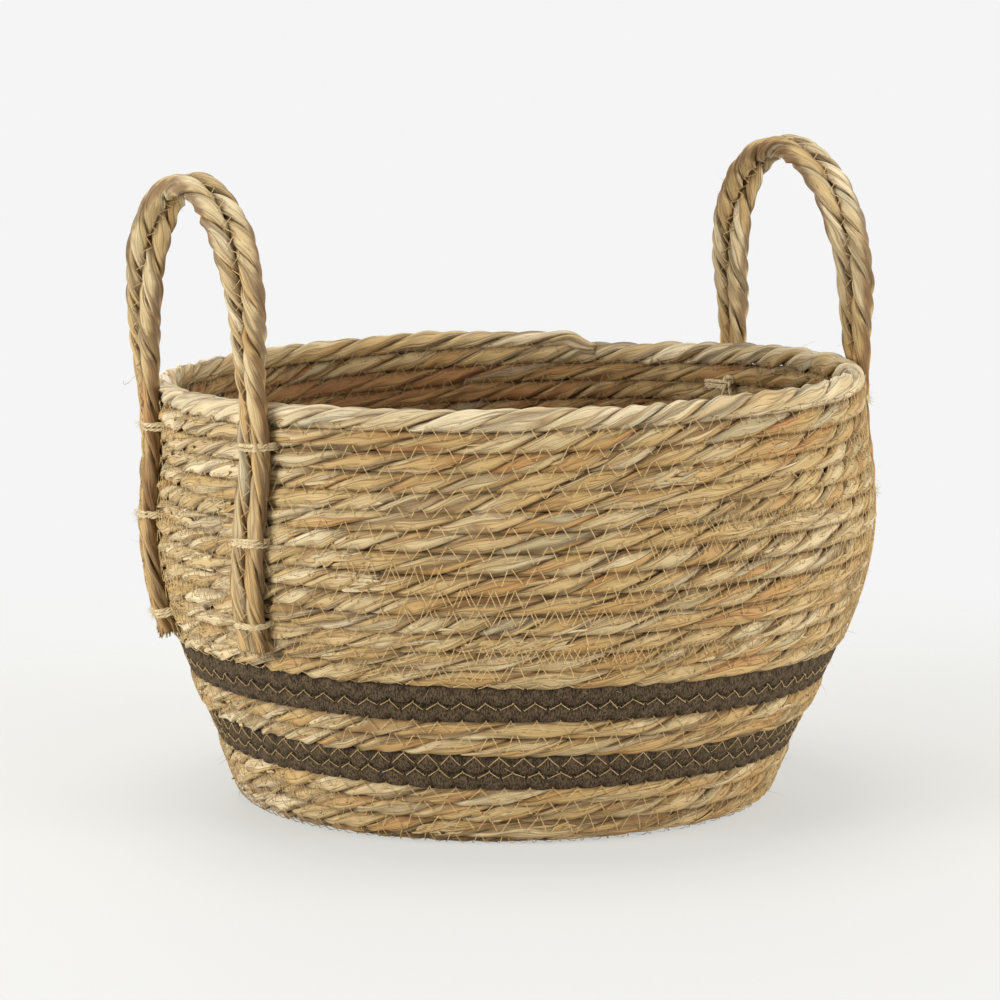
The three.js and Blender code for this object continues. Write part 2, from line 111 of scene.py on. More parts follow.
# The handles
HANDLE_ROPE = 9.5
PAIR_CLEARANCE = 0.3
SEAT_CLEARANCE = 0.3
LEG_ANGLE = 18.5
FRONT_LEG_LENGTH = 119.0
BACK_LEG_LENGTH = 125.0
HANDLE_RISE = 101.5
ARCH_RISE = 70.0
HANDLE_LEANS = {"left": 3.5, "right": 8.5}
HINGE_RISE = 5.0
LEG_TURN = 16.0
LEG_POINTS = 110
ARCH_POINTS = 160
CLIMB_POINTS = 30
ACROSS_WEIGHT = 20
PATH_SPACING = 1.5
SOFT_BENDS = 4
SOFT_TURNS = 5

# The hooked sprig: its place, and the points of its hook to the left and up
SPRIG_ABOVE_RIM = 10.0
SPRIG_ASIDE = 6.5
SPRIG_RADII = (0.26, 0.12)
SPRIG_STEP = 0.4
HOOKED_SPRIG = ((-3.0, 2.0), (0.0, 0.0), (2.9, -3.2), (5.4, -4.2), (5.5, -2.0))

# The ties
TWINE = 2.5
FRONT_TIE_SEAMS = (2, 7, 11)
BACK_TIE_SEAMS = (2, 7, 12)
TIE_NAMES = ("top", "middle", "bottom")
KNOT_ASIDE = 9.0
KNOT_ABOVE = 2.5
LONG_TAIL = 19.0
SHORT_TAIL = 9.0
TWINE_HALF_WIDTH = 9.5
PLIES = 3
PLY_RADIUS = 0.5
PLY_PLACE = 0.95
PLY_SIDES = 7
TWINE_LAY = 8.0
TWINE_RUNS = (-1.5, 0.1, 1.5)
TWINE_RUN_LENGTH = 40
TWINE_FORK = 0.75
TWINE_FORK_STRAYS = 0.35
TWINE_SQUARENESS = 0.55
TWINE_LEAVES_WALL = 3.0
TWINE_FULLNESS = 0.6
TWINE_STANDS = 0.3
TWINE_DIP = 0.7
TWINE_DIP_WIDTH = 1.8
TWINE_INSIDE_WIDTH = 8.5
TWINE_STEP = 0.8
TAIL_POINTS = 18
KNOT_SIZE = 0.95
KNOT_STANDS = 1.4
TAILS = ((LONG_TAIL, -3.0), (SHORT_TAIL, 5.0))
TAIL_HAIRS = 7
TIE_HAIRS = 150
TIE_HAIR_WIDTH = 10.5
TIE_HAIR_HEIGHT = 2.2
TIE_HAIR_ROOT = 0.2
TWINE_FLAT_WIDTH = 8.2
TWINE_FALLS = 4.5

# Rush rope as it is laid
WALL_ROPE_RADIUS = 5.38
WALL_LAY = 57.0
WALL_LAY_STRAYS = 2.6
# Painted shade on the inner side of the wall: a browner, darker tone for the shade inside the basket,
# partly a browner leaf
INSIDE_BROWN_AND_SHADE = 0.64
INSIDE_SHADE = 0.38
RIM_INSIDE_BROWN_AND_SHADE = 0.42
RIM_PALE = 0.75
ROUGH_PALE = 0.34
RUSH_DENT = 0.3
RUSH_DENT_PLACE = 0.32
RUSH_DENT_SPREAD = 0.26
RUSH_DENT_LENGTH = 2.8

# Painted light: where the inside's painted shade and browning are lessened, in degrees round the basket,
# and by how much
PAINTED_LIGHT_ANGLE = 28.0
PAINTED_LIGHT_WIDTH = 26.0
PAINTED_LIGHT_AMOUNT = 0.4

# Turns down from the rope's end over which the rim's own look gives way to the wall's
RIM_PALE_TURNS = (1.25, 0.9)
# The inside's painted shade and browning grow from the rim's share to full over these turns
RIM_INSIDE_SHADE_TURNS = (0.8, 1.5)
RIM_SEAM_TURNS = (0.9, 1.05)

# The handles' ropes
HANDLE_ROPE_RADIUS = 5.1
HANDLE_LAY = 41.0
LEG_LAY = 60.0
HANDLE_PALE = 0.42
LEG_DARKER = 0.50
HANDLE_STITCH = 5.1
HANDLE_STITCH_REACH = 2.9
LEG_ROPE_WIDTH = 0.88
LEG_ROPE_DEPTH = 0.74
LEG_FLATTENS = 35.0
LEG_ROPE_SINKS = 1.0
LEG_THREAD_SINKS = 0.17
HANDLE_HAIRS = 46
LEG_SLANT = 6.5
FREE_ENDS = 18.0
LEG_PAIR_CLOSES = 0.09
HANDLE_SIDES = 14
HANDLE_ROUGHNESS = 1.3
HANDLE_VALLEY = 0.70
HANDLE_STROKE_PARTS = np.array([0, 0.12, 0.3, 0.5, 0.7, 0.88])
HANDLE_STROKE_OUTS = np.array([3.2, 4.95, 5.12, 5.0, 5.12, 4.95])
HANDLE_MARGIN = 6
HANDLE_STITCH_STRAYS = 0.35

# The rows are rougher under the handles
ROUGHEST = 1.6
ROUGH_ZONE = 20.0
ROUGH_SEAM_FADE = 0.35

# Where the leaf is torn: the angle round the basket and the row
TORN_PLACES = (
    (213, 7), (216, 8), (239, 11), (242, 11), (267, 3), (196, 3), (188, 5), (184, 8), (192, 10),
    (176, 6), (12, 4), (352, 8), (80, 6), (120, 9), (150, 4), (300, 9), (325, 6), (250, 22),
    (228, 22), (236, 21), (342, 4),
)
TORN_STRIPS = 16
LOOSE_STRIPS = 300

# The splayed leaf at the cut ends of the legs
LEAF_ENDS = 26
LEAF_END_POINTS = 9
LEAF_END_HIDES = 5
LEAF_END_SPREAD = 3.2
LEAF_END_SPLAY = 2.2
LEAF_END_LIFT = 1.2
LEAF_END_FAN = 1.5
LEAF_END_TURN = 0.6
LEAF_END_LENGTHS = (5, 8.5)
LEAF_END_WIDTHS = (1.2, 3.0)

# Stray fibres
STRAY_HAIRS = 860
HAIR_POINTS = 7
HAIR_TAPER = 0.7
HAIR_CURL = 0.5
HANDLE_HAIR_ROOTS = (0.85, 0.75)
HANDLE_HAIR_LENGTHS = (2, 6)
HANDLE_HAIR_RADII = (0.06, 0.1)
TAIL_HAIR_LENGTHS = (2, 5)
TAIL_HAIR_RADIUS = 0.12
TIE_HAIR_LENGTHS = (1.5, 4.5)
TIE_HAIR_RADIUS = 0.06
STRAY_HAIR_RADII = (0.06, 0.12)
STRAY_HAIR_CURLS = (0, 0.6)
STRAY_HAIR_CHANCE = 0.42
HAIR_ROOT = 4.2

# Strips of leaf that lie over the rows
LOOSE_STRIP_CHANCE = 0.4
STRIP_POINTS = 16
STRIP_RADIUS = BELLY_RADIUS - 15
STRIP_THICKNESS = 0.16
STRIP_LIFT = 5.2
STRIP_BEND = 0.055
STRIP_TUCKS = (1.6, 0.9)
STRIP_FULLNESS = 0.6
STRIP_TIP = 0.08

# A strand of the rope
STRAND_TWIST = 84.0
STRAND_PLACE = 0.42
STRAND_DEPTH = 0.58
STRAND_WIDTH = 0.95
STRAND_SQUARENESS = 0.85
STRAND_ROUND = 0.75
LEAF_FOLD = 0.10
LEAF_WAVES = ((2, 0.03), (3, 0.045), (5, 0.04))
CREASE_REACH = (0.70, 0.93)
SEAM_REACH = 0.95
INNER_SIDE = (-0.1, -0.65)
SEAM_SHADE = 0.9
FOLD_SHADE = 0.6
LAY_REACH = 120
ANY_TURN = 6.28
ANY_PLACE = 900

# How handwork strays from even: by how much, and over what reach along the piece
LAY_STRAYS = (0.35, 45)
THICKNESS_STRAYS = (0.035, 45)
STRAND_STRAYS = (0.10, 28)
SWELL_STRAYS = (0.055, 22)
TWIST_STRAYS = (0.5, 90)
WAVE_STRAYS = (1.6, 60)
ROW_STRAYS_UP = (0.22, 30)
ROW_STRAYS_OUT = (0.3, 35)
CORD_STRAYS = (0.03, 7)
SEWING_STRAYS = (0.22, 90)
PAIR_STRAYS_APART = (0.35, 40)
PAIR_STRAYS_OUT = (0.35, 30)
TWINE_STRAYS = (0.35, 9)
PLY_STRAYS_OUT = (0.25, 5)
PLY_STRAYS_ROUND = (0.5, 7)
PLY_STRAYS_THICK = (0.2, 3)

# Cotton cord
CORD_SIDES = 18
CORD_SPACING = 1.25
CORD_HEIGHT = 5.35
CORD_DEPTH = 4.7
CORD_FULLNESS = 4.2
CORD_END = 5.0
CORD_END_SIZE = 0.45
CORD_SEAM = (0.84, 1.0)
CORD_SEAM_SHADE = 0.5
STITCH_DENT = 1.8
STITCH_DENT_PLACE = 0.66
STITCH_DENT_SPREAD = 0.30
STITCH_DENT_LENGTH = 1.7

# Sewing thread
STITCH = 5.7
THREAD_RADIUS = 0.21
THREAD_SIDES = 4
RUSH_STITCH = (3.0, 3.0)
CORD_STITCH = (1.9, 1.9)
UPPER_BAND_TOP_STITCH = (4.4, -1.0)
LOWER_BAND_TOP_STITCH = (0.9, 4.3)
BAND_FOOT_STITCH = (1.3, 4.1)
RUSH_COVER = 5.7
TALL_STITCHES = 0.24
TALL_STITCH_TURNS = (4, 8)
STITCH_STRAYS = 0.4
STITCH_HEIGHT_STRAYS = 0.28
RUSH_HIDES = (0.2, 1.5)
CORD_HIDES = (0.7, 0.08)
STROKE_PARTS = np.array([0, 0.05, 0.2, 0.4, 0.6, 0.8, 0.95, 1])
CORD_THREAD_LIFT = 0.17
RUSH_THREAD_LIFT = 0.42
INNER_THREAD_SHADE = 0.75
CORD_THREAD_SHADE = 0.3
HOLE_DEPTH = 1.7

# Stretches that were sewn a second time: length in turns, shift in stitches and height
SECOND_SEWING = 54
SECOND_TURNS = (0.03, 0.16)
SECOND_SHIFT = (0.4, 1.6)
SECOND_HEIGHT = (1, 1.35)
SECOND_STARTS = 3.0
SECOND_RARE_ABOVE = 6
SECOND_RARITY = 0.7

# A cap's place and size on the map, as shares of the free strip beside its tube
CAP_PLACE = 0.3
CAP_SIZE = 0.5

# Colours as they look, in red, green and blue. Each stop of a ramp starts with its place on it.
LEAF_TONES = (
    (0.00, (160, 112, 64)), (0.16, (178, 136, 80)), (0.40, (188, 157, 101)),
    (0.60, (192, 166, 117)), (0.80, (203, 182, 139)), (1.00, (218, 199, 160)),
)
LEAF_GREY_GREEN = (164, 156, 126)
LEAF_SPOT = (146, 94, 54)
LEAF_CRACK = (104, 70, 40)
# The colour that painted shade in creases, seams and on the inner side darkens towards
LEAF_PAINTED_SHADE = (88, 58, 34)
FLOOR_TONES = ((0.3, (201, 200, 195)), (0.7, (208, 207, 203)))
FLOOR_GLOW_COLOUR = (244, 244, 240)

# The camera, found from the photograph
CAMERA_DISTANCE = 2.1
CAMERA_HEIGHT = 0.440
CAMERA_AZIMUTH = -30.0
CAMERA_PITCH = 7.85
CAMERA_LENS = 149.15
CAMERA_SHIFT = (-0.0083, -0.001)
SCREEN_LEFT = np.array([
    -math.cos(math.radians(CAMERA_AZIMUTH)), -math.sin(math.radians(CAMERA_AZIMUTH)), 0,
])

# The studio, in metres and strengths
FLOOR_SOLID = 0.24
FLOOR_REACH = 0.75
FLOOR_GLOW = 0.55
LAMP_HEIGHT = 0.42
LAMP_DISTANCE = 1.9
SIDE_LAMPS = (("left_softbox", 180, 39), ("right_softbox", 302, 36), ("back_softbox", 70, 12))
SIDE_LAMP_AIM = (0, 0, 0.12)
SIDE_LAMP_SIZE = 1.1
TOP_LAMP = (-0.05, 0.3, 2.4)
TOP_LAMP_AIM = (0, 0, 0.1)
TOP_LAMP_SIZE = 1.5
TOP_LAMP_POWER = 30
WORLD_LIGHT = 0.455
BACKDROP_LIGHT = 0.913

ROPE_FLAT = (ROW_PITCH - ROW_CLEARANCE) / 2
ROPE_CORNER = ROPE_FLAT / math.cos(math.pi / ROPE_SIDES)
FLOOR_LINE = ROPE_CORNER - STANDING_FLAT
PAIR_OFFSET = (HANDLE_ROPE + PAIR_CLEARANCE) / 2
LEG_LINE = ROPE_CORNER + SEAT_CLEARANCE + HANDLE_ROPE / 2
TWINE_INSIDE = -(ROPE_CORNER + SEAT_CLEARANCE + TWINE / 2)
TWINE_TOP = LEG_LINE - LEG_ROPE_SINKS + LEG_ROPE_DEPTH * HANDLE_ROPE_RADIUS + TWINE_STANDS


# Helpers for numbers and vectors

def unit(vectors):
    return vectors / np.linalg.norm(vectors, axis=-1, keepdims=True)


def smoothstep(low, high, value):
    part = np.clip((value - low) / (high - low), 0, 1)
    return part * part * (3 - 2 * part)


def drift(run, reach, rng):
    """A smooth random value from -1 to 1 that changes over a reach of millimetres."""
    knots = rng.uniform(-1, 1, int(run[-1] / reach) + 3)
    place = run / reach
    index = place.astype(int)
    part = smoothstep(0, 1, place - index)
    return knots[index] * (1 - part) + knots[index + 1] * part


def bell(offset, width):
    return np.exp(-0.5 * (offset / width) ** 2)


def squared(wave, power):
    """A sine or cosine with its curve made fuller or squarer, and its sign kept."""
    return np.sign(wave) * np.abs(wave) ** power


def strays(run, amount_and_reach, rng):
    amount, reach = amount_and_reach
    return amount * drift(run, reach, rng)


def columns(*values):
    """Values side by side on the last axis of one array."""
    return np.stack(np.broadcast_arrays(*values), -1)


def read_at(place, run, values):
    """The values of a path at lengths along it."""
    return np.stack([np.interp(place, run, values[:, k]) for k in range(values.shape[1])], -1)


def beside(centre, outward, across, out, aside):
    """Points beside a path, or rings of points round it, so far outward and so far across."""
    out, aside = np.broadcast_arrays(out, aside)
    if out.ndim == 2:
        centre, outward, across = centre[:, None], outward[:, None], across[:, None]
    return centre + out[..., None] * outward + aside[..., None] * across


def run_along(points):
    return np.concatenate([[0], np.cumsum(np.linalg.norm(np.diff(points, axis=0), axis=1))])


def evenly(points, spacing):
    """The same path with its points a given distance apart."""
    run = run_along(points)
    even = np.linspace(0, run[-1], max(2, int(run[-1] / spacing) + 1))
    return read_at(even, run, points)


def softened(values, reach):
    """Evenly spaced values with their corners rounded over a number of points, ends kept."""
    half = int(3 * reach)
    weights = bell(np.arange(-half, half + 1), reach)
    weights /= weights.sum()
    before = 2 * values[0] - values[half:0:-1]
    after = 2 * values[-1] - values[-2:-half - 2:-1]
    padded = np.concatenate([before, values, after])
    return np.stack([np.convolve(padded[:, k], weights, "valid") for k in range(values.shape[1])], -1)


# The shape of the basket

def bezier(points, count=400):
    part = np.linspace(0, 1, count)[:, None]
    a, b, c, d = (np.array(point, float) for point in points)
    rest = 1 - part
    return rest ** 3 * a + 3 * rest ** 2 * part * b + 3 * rest * part ** 2 * c + part ** 3 * d


def section_table():
    """Length, radius, height and direction of the wall's section at the middle of the rope."""
    foot, belly, rim = (radius - ROPE_CORNER for radius in (FOOT_RADIUS, BELLY_RADIUS, RIM_RADIUS))
    lean = math.radians(FOOT_LEAN)
    bend_centre = np.array([foot - HEEL_BEND, FLOOR_LINE + HEEL_BEND])
    turn = np.linspace(-math.pi / 2, -lean, 60)
    bend = bend_centre + HEEL_BEND * columns(np.cos(turn), np.sin(turn))
    foot_pull = bend[-1] + FOOT_REACH * np.array([math.sin(lean), math.cos(lean)])
    pieces = [
        np.array([[0, FLOOR_LINE], bend[0]]),
        bend,
        bezier([bend[-1], foot_pull, (belly, BELLY_HEIGHT - BELLY_REACH), (belly, BELLY_HEIGHT)]),
        bezier([
            (belly, BELLY_HEIGHT), (belly, BELLY_HEIGHT + NECK_REACH),
            (rim, NECK_HEIGHT - NECK_REACH), (rim, NECK_HEIGHT),
        ]),
        np.array([[rim, NECK_HEIGHT], [rim, RIM_HEIGHT + ROW_PITCH]]),
    ]
    points = evenly(np.concatenate(pieces), SECTION_STEP)
    return run_along(points), points, unit(np.gradient(points, axis=0))


SECTION_RUN, SECTION_POINTS, SECTION_DIRECTIONS = section_table()
ROPE_END = SECTION_RUN[-1] - ROW_PITCH - ROPE_FLAT


def wander(along, angle):
    """How far a row of the wall strays along it from its even place."""
    return sum(
        far * np.sin(waves * angle + along / reach + start) for far, waves, reach, start in ROW_WAVES
    )


def beside_wall(along, angle, out=0.0):
    """Points beside the wall's line, with the outward and the upward direction there."""
    along, angle, out = np.broadcast_arrays(*(np.asarray(v, float) for v in (along, angle, out)))
    place = along + wander(along, angle) * smoothstep(0, EVEN_MIDDLE, along)
    radius, height = np.moveaxis(read_at(place, SECTION_RUN, SECTION_POINTS), -1, 0)
    spread, rise = np.moveaxis(read_at(place, SECTION_RUN, SECTION_DIRECTIONS), -1, 0)
    cosine, sine = np.cos(angle), np.sin(angle)
    outward = columns(rise * cosine, rise * sine, -spread)
    upward = columns(spread * cosine, spread * sine, rise)
    centre = columns(radius * cosine, radius * sine, height)
    return centre + out[..., None] * outward, outward, upward


def handmade(points):
    """Moves points of the true basket to where they lie on the handmade one."""
    angle = math.radians(HIGH_SIDE_ANGLE)
    across = np.array([math.cos(angle), math.sin(angle)])
    height = np.clip(points[..., 2], 0, RIM_HEIGHT)
    swing = SWAY * np.sin(math.pi * (height - SWAY_HEIGHT) / (RIM_HEIGHT - SWAY_HEIGHT))
    moved = points.copy()
    moved[..., 2] += RIM_TILT * (points[..., :2] @ across) * (height / RIM_HEIGHT) ** 2
    moved[..., :2] += swing[..., None] * across
    return moved


def turn_table():
    """The length of the coiled rope down to each turn."""
    turns = np.linspace(0, (ROPE_END - EYE_RADIUS) / ROW_PITCH, TABLE_LENGTH)
    radius = np.interp(ROPE_END - ROW_PITCH * turns, SECTION_RUN, SECTION_POINTS[:, 0])
    steps = 2 * math.pi * (radius[1:] + radius[:-1]) / 2 * np.diff(turns)
    return turns, np.concatenate([[0], np.cumsum(steps)])


TURNS, TURN_RUNS = turn_table()
EYE_TURN = TURNS[-1]


def coil_angle(turn):
    return np.radians(ROPE_END_ANGLE) + 2 * math.pi * turn


# Meshes

def tube(points, fibre=None, shade=0.0, pale=0.0):
    """A closed tube through rings of points, with the values that its material reads."""
    rings, sides = points.shape[:2]
    if fibre is None:
        run = run_along(points.mean(1))
        around = points - points.mean(1, keepdims=True)
        fibre = columns(run[:, None], around[..., 0], around[..., 1])
    return {
        "points": points,
        "fibre": fibre,
        "shade": np.broadcast_to(shade, (rings, sides)),
        "pale": np.broadcast_to(pale, (rings, sides)),
    }


def tube_faces(points):
    """The quads along a tube and the triangles that close its ends, facing out."""
    rings, sides = points.shape[:2]
    ring = np.arange(rings - 1)[:, None] * sides
    side = np.arange(sides)[None]
    following = (side + 1) % sides
    quads = np.stack([
        ring + side, ring + sides + side, ring + sides + following, ring + following,
    ], -1).reshape(-1, 4)
    first, last = rings * sides, rings * sides + 1
    side, following = side[0], following[0]
    final = (rings - 1) * sides
    caps = np.concatenate([
        np.stack([np.full(sides, first), side, following], -1),
        np.stack([np.full(sides, last), final + following, final + side], -1),
    ])
    flat = points.reshape(-1, 3)
    a, b, c, d = (flat[quads[:, k]] for k in range(4))
    volume = (np.cross(b, c) * a).sum() + (np.cross(c, d) * a).sum()
    return (quads, caps) if volume > 0 else (quads[:, ::-1], caps[:, ::-1])


def strip_map(tubes):
    """Places on a square for the corners of every face: the tubes lie on it as strips."""
    rings = np.array([t["points"].shape[0] - 1 for t in tubes])
    sides = tubes[0]["points"].shape[1]
    some = tubes[int(np.argmax(rings))]["points"]
    step = np.linalg.norm(np.diff(some, axis=0), axis=-1).mean()
    width = np.linalg.norm(np.roll(some, 1, 1) - some, axis=-1).mean()
    per_strip = max(1, math.ceil(math.sqrt(rings.sum() * (sides + 1) * width / step)))
    strips = np.ceil(rings / per_strip).astype(int)
    strip_height = 1 / strips.sum()
    start = 0
    corners = []
    cap_corners = []
    for count, used in zip(rings, strips):
        ring = np.repeat(np.arange(count), sides)
        side = np.tile(np.arange(sides), count)
        low = start + ring // per_strip
        left = (ring % per_strip) / per_strip
        right = (ring % per_strip + 1) / per_strip
        bottom = (low + side / (sides + 1)) * strip_height
        top = (low + (side + 1) / (sides + 1)) * strip_height
        quad = ((left, bottom), (right, bottom), (right, top), (left, top))
        corners.append(np.stack([columns(*corner) for corner in quad], 1))
        gap = (start + (sides + CAP_PLACE) / (sides + 1)) * strip_height
        small = CAP_SIZE * strip_height / (sides + 1)
        cap = np.array([[0, gap], [small, gap], [0, gap + small]])
        cap_corners.append(np.broadcast_to(cap, (2 * sides, 3, 2)))
        start += used
    return corners, cap_corners


def joined_tubes(tubes):
    """The points and attributes, quads, end triangles and map corners of tubes, joined."""
    values = {key: [] for key in ("points", "fibre", "shade", "pale")}
    quads, caps = [], []
    quad_corners, cap_corners = strip_map(tubes)
    offset = 0
    for index, part in enumerate(tubes):
        tube_quads, tube_caps = tube_faces(part["points"])
        if tube_quads[0, 0] > tube_quads[0, -1]:
            quad_corners[index] = quad_corners[index][:, ::-1]
            cap_corners[index] = cap_corners[index][:, ::-1]
        quads.append(tube_quads + offset)
        caps.append(tube_caps + offset)
        for key, store in values.items():
            value = part[key]
            ends = np.stack([value[0].mean(0), value[-1].mean(0)])
            store.append(np.concatenate([value.reshape(-1, *value.shape[2:]), ends]))
        offset += len(values["points"][-1])
    corners = [np.concatenate(stored).reshape(-1, 2) for stored in (quad_corners, cap_corners)]
    joined = {key: np.concatenate(store) for key, store in values.items()}
    return joined, np.concatenate(quads), np.concatenate(caps), np.concatenate(corners)


def make_piece(name, tubes, finish, lowest=None):
    """One mesh from closed tubes, in metres, with its attributes, map and material."""
    values, quads, caps, corners = joined_tubes(tubes)
    place = handmade(values["points"])
    if lowest is not None:
        place[:, 2] = np.maximum(place[:, 2], lowest)
    mesh = bpy.data.meshes.new(name)
    mesh.vertices.add(len(place))
    mesh.vertices.foreach_set("co", (place * MM).astype(np.float32).ravel())
    loops = np.concatenate([quads.ravel(), caps.ravel()])
    mesh.loops.add(len(loops))
    mesh.loops.foreach_set("vertex_index", loops.astype(np.int32))
    starts = np.concatenate([np.arange(len(quads)) * 4, quads.size + np.arange(len(caps)) * 3])
    mesh.polygons.add(len(starts))
    mesh.polygons.foreach_set("loop_start", starts.astype(np.int32))
    mesh.polygons.foreach_set("use_smooth", np.ones(len(starts), bool))
    mesh.update(calc_edges=True)

    kinds = {"fibre": ("FLOAT_VECTOR", "vector"), "shade": ("FLOAT", "value"), "pale": ("FLOAT", "value")}
    for key, (kind, field) in kinds.items():
        attribute = mesh.attributes.new(key, kind, "POINT")
        attribute.data.foreach_set(field, values[key].astype(np.float32).ravel())
    uv = mesh.uv_layers.new(name="OFBake")
    uv.data.foreach_set("uv", corners.astype(np.float32).ravel())

    piece = bpy.data.objects.new(name, mesh)
    bpy.context.scene.collection.objects.link(piece)
    mesh.materials.append(finish)
    return piece


def basket_piece(name, tubes, finish, node=None, lowest=None):
    """A piece that stays with the basket, in the place of its node where it has one."""
    piece = make_piece(name, tubes, finish, lowest)
    if node:
        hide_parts(node)
    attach(piece, "basket")


# Rope, yarn and fibres

def frames_along(centre, outward):
    """Directions square to a path: outward and across, so that across x outward runs on."""
    tangent = unit(np.gradient(centre, axis=0))
    across = unit(np.cross(outward, tangent))
    return unit(np.cross(tangent, across)), across


def laid_strands(
    centre, outward, lay, radius, sides, rng,
    size=1.0, depth=1.0, rough=1.0, valley=0.72, pale=0.0, inside=0.0, pinch=None, top_seam=1.0,
    lay_strays=1.5,
):
    """The two strands of a rush rope along a path, laid left-handed round each other."""
    run = run_along(centre)
    outward, across = frames_along(centre, outward)
    size, depth, rough = (np.broadcast_to(value, run.shape)[:, None] for value in (size, depth, rough))
    lay_turn = 2 * math.pi * np.cumsum(np.gradient(run) / lay)
    lay_turn = lay_turn + lay_strays * drift(run, LAY_REACH, rng) + strays(run, LAY_STRAYS, rng)
    thick = 1 + strays(run, THICKNESS_STRAYS, rng)
    leaf_side = np.linspace(-math.pi, math.pi, sides, endpoint=False)[None]
    folded_edge = np.eye(1, sides)
    strands = []
    for half in (0, math.pi):
        turn = (lay_turn + half)[:, None] + rough * strays(run, STRAND_STRAYS, rng)[:, None]
        swell = thick[:, None] * (1 + rough * strays(run, SWELL_STRAYS, rng)[:, None])
        twist = 2 * math.pi * run / STRAND_TWIST + rng.uniform(0, ANY_TURN) + strays(run, TWIST_STRAYS, rng)
        folds = 1 - LEAF_FOLD * folded_edge + rough * sum(
            fold * np.cos(count * leaf_side + strays(run, WAVE_STRAYS, rng)[:, None])
            for count, fold in LEAF_WAVES
        )
        around = leaf_side - twist[:, None]
        deep = squared(np.cos(around), STRAND_SQUARENESS) * STRAND_DEPTH * folds * swell + STRAND_PLACE
        wide = squared(np.sin(around), STRAND_SQUARENESS) * STRAND_WIDTH * folds * swell
        toward = deep * np.cos(turn) - wide * np.sin(turn)
        sideways = deep * np.sin(turn) + wide * np.cos(turn)
        reach = radius * size
        if pinch is not None:
            reach = reach - pinch(sideways)
        points = beside(centre, outward, across, reach * depth * toward, reach * sideways)
        fibre = columns(
            run[:, None] + rng.uniform(0, ANY_PLACE), STRAND_ROUND * radius * leaf_side,
            rng.uniform(0, ANY_PLACE),
        )
        # Painted shade, partly dirt: darker where the two strands meet, in the seams between rows and at
        # the folded leaf edge; painted shade with a browner tone on the inner side
        crease_shade = 1 - smoothstep(*CREASE_REACH, np.hypot(toward, sideways))
        seam = smoothstep(valley, SEAM_REACH, np.abs(sideways)) * np.where(sideways > 0, top_seam, 1.0)
        dark = np.maximum(crease_shade, SEAM_SHADE * seam) / rough ** ROUGH_SEAM_FADE
        inner_side = inside * smoothstep(*INNER_SIDE, toward)
        shade = np.maximum(np.maximum(dark, FOLD_SHADE * folded_edge), INSIDE_SHADE * inner_side)
        strands.append(tube(points, fibre, shade, pale * (1 - inner_side) - inner_side))
    return strands


def coil_path(first, last, spacing, before=0.0, after=0.0):
    """Lengths and turns along a stretch of the coiled rope, and a little before and after it."""
    start, end = np.interp([first, last], TURNS, TURN_RUNS)
    run = np.linspace(start - before, end + after, int((end - start) / spacing) + 1)
    turns = np.interp(run, TURN_RUNS, TURNS) + np.minimum(run, 0) / (2 * math.pi * RIM_RADIUS)
    return run, turns


def pinched(run, turns, place, spread, length):
    """How hard the stitches of the seams above and below draw in the rope, from 0 to 1."""
    seam_below = np.interp(turns + 1, TURNS, TURN_RUNS)

    def near(seam_run, parity):
        gap = np.abs((seam_run / STITCH + parity) % 2 - 1) * STITCH
        return bell(gap, length)[:, None]

    above = near(run, 0) * (turns >= 1)[:, None]
    below = near(seam_below, 1)

    def amount(upward):
        return above * bell(upward - place, spread) + below * bell(upward + place, spread)

    return amount


def roughness_at(angle):
    """The rows are lumpier under the handles, where the rope was bent and handled most."""
    degrees = np.degrees(angle) % 180
    gap = np.minimum(degrees, 180 - degrees)
    return 1 + ROUGHEST * bell(gap, ROUGH_ZONE)


def inside_brown_and_shade(turns):
    """How much painted shade and browner tone the rope's inner side gets, for the shade inside the basket
    and partly a browner leaf: less on the rim, and lessened at the back's right as painted light.
    """
    below_rim = smoothstep(*RIM_INSIDE_SHADE_TURNS, turns)
    brown = INSIDE_BROWN_AND_SHADE * (RIM_INSIDE_BROWN_AND_SHADE + (1 - RIM_INSIDE_BROWN_AND_SHADE) * below_rim)
    from_painted_light = (np.degrees(coil_angle(turns)) - PAINTED_LIGHT_ANGLE + 180) % 360 - 180
    return brown * (1 - PAINTED_LIGHT_AMOUNT * np.exp(-(from_painted_light / PAINTED_LIGHT_WIDTH) ** 2))


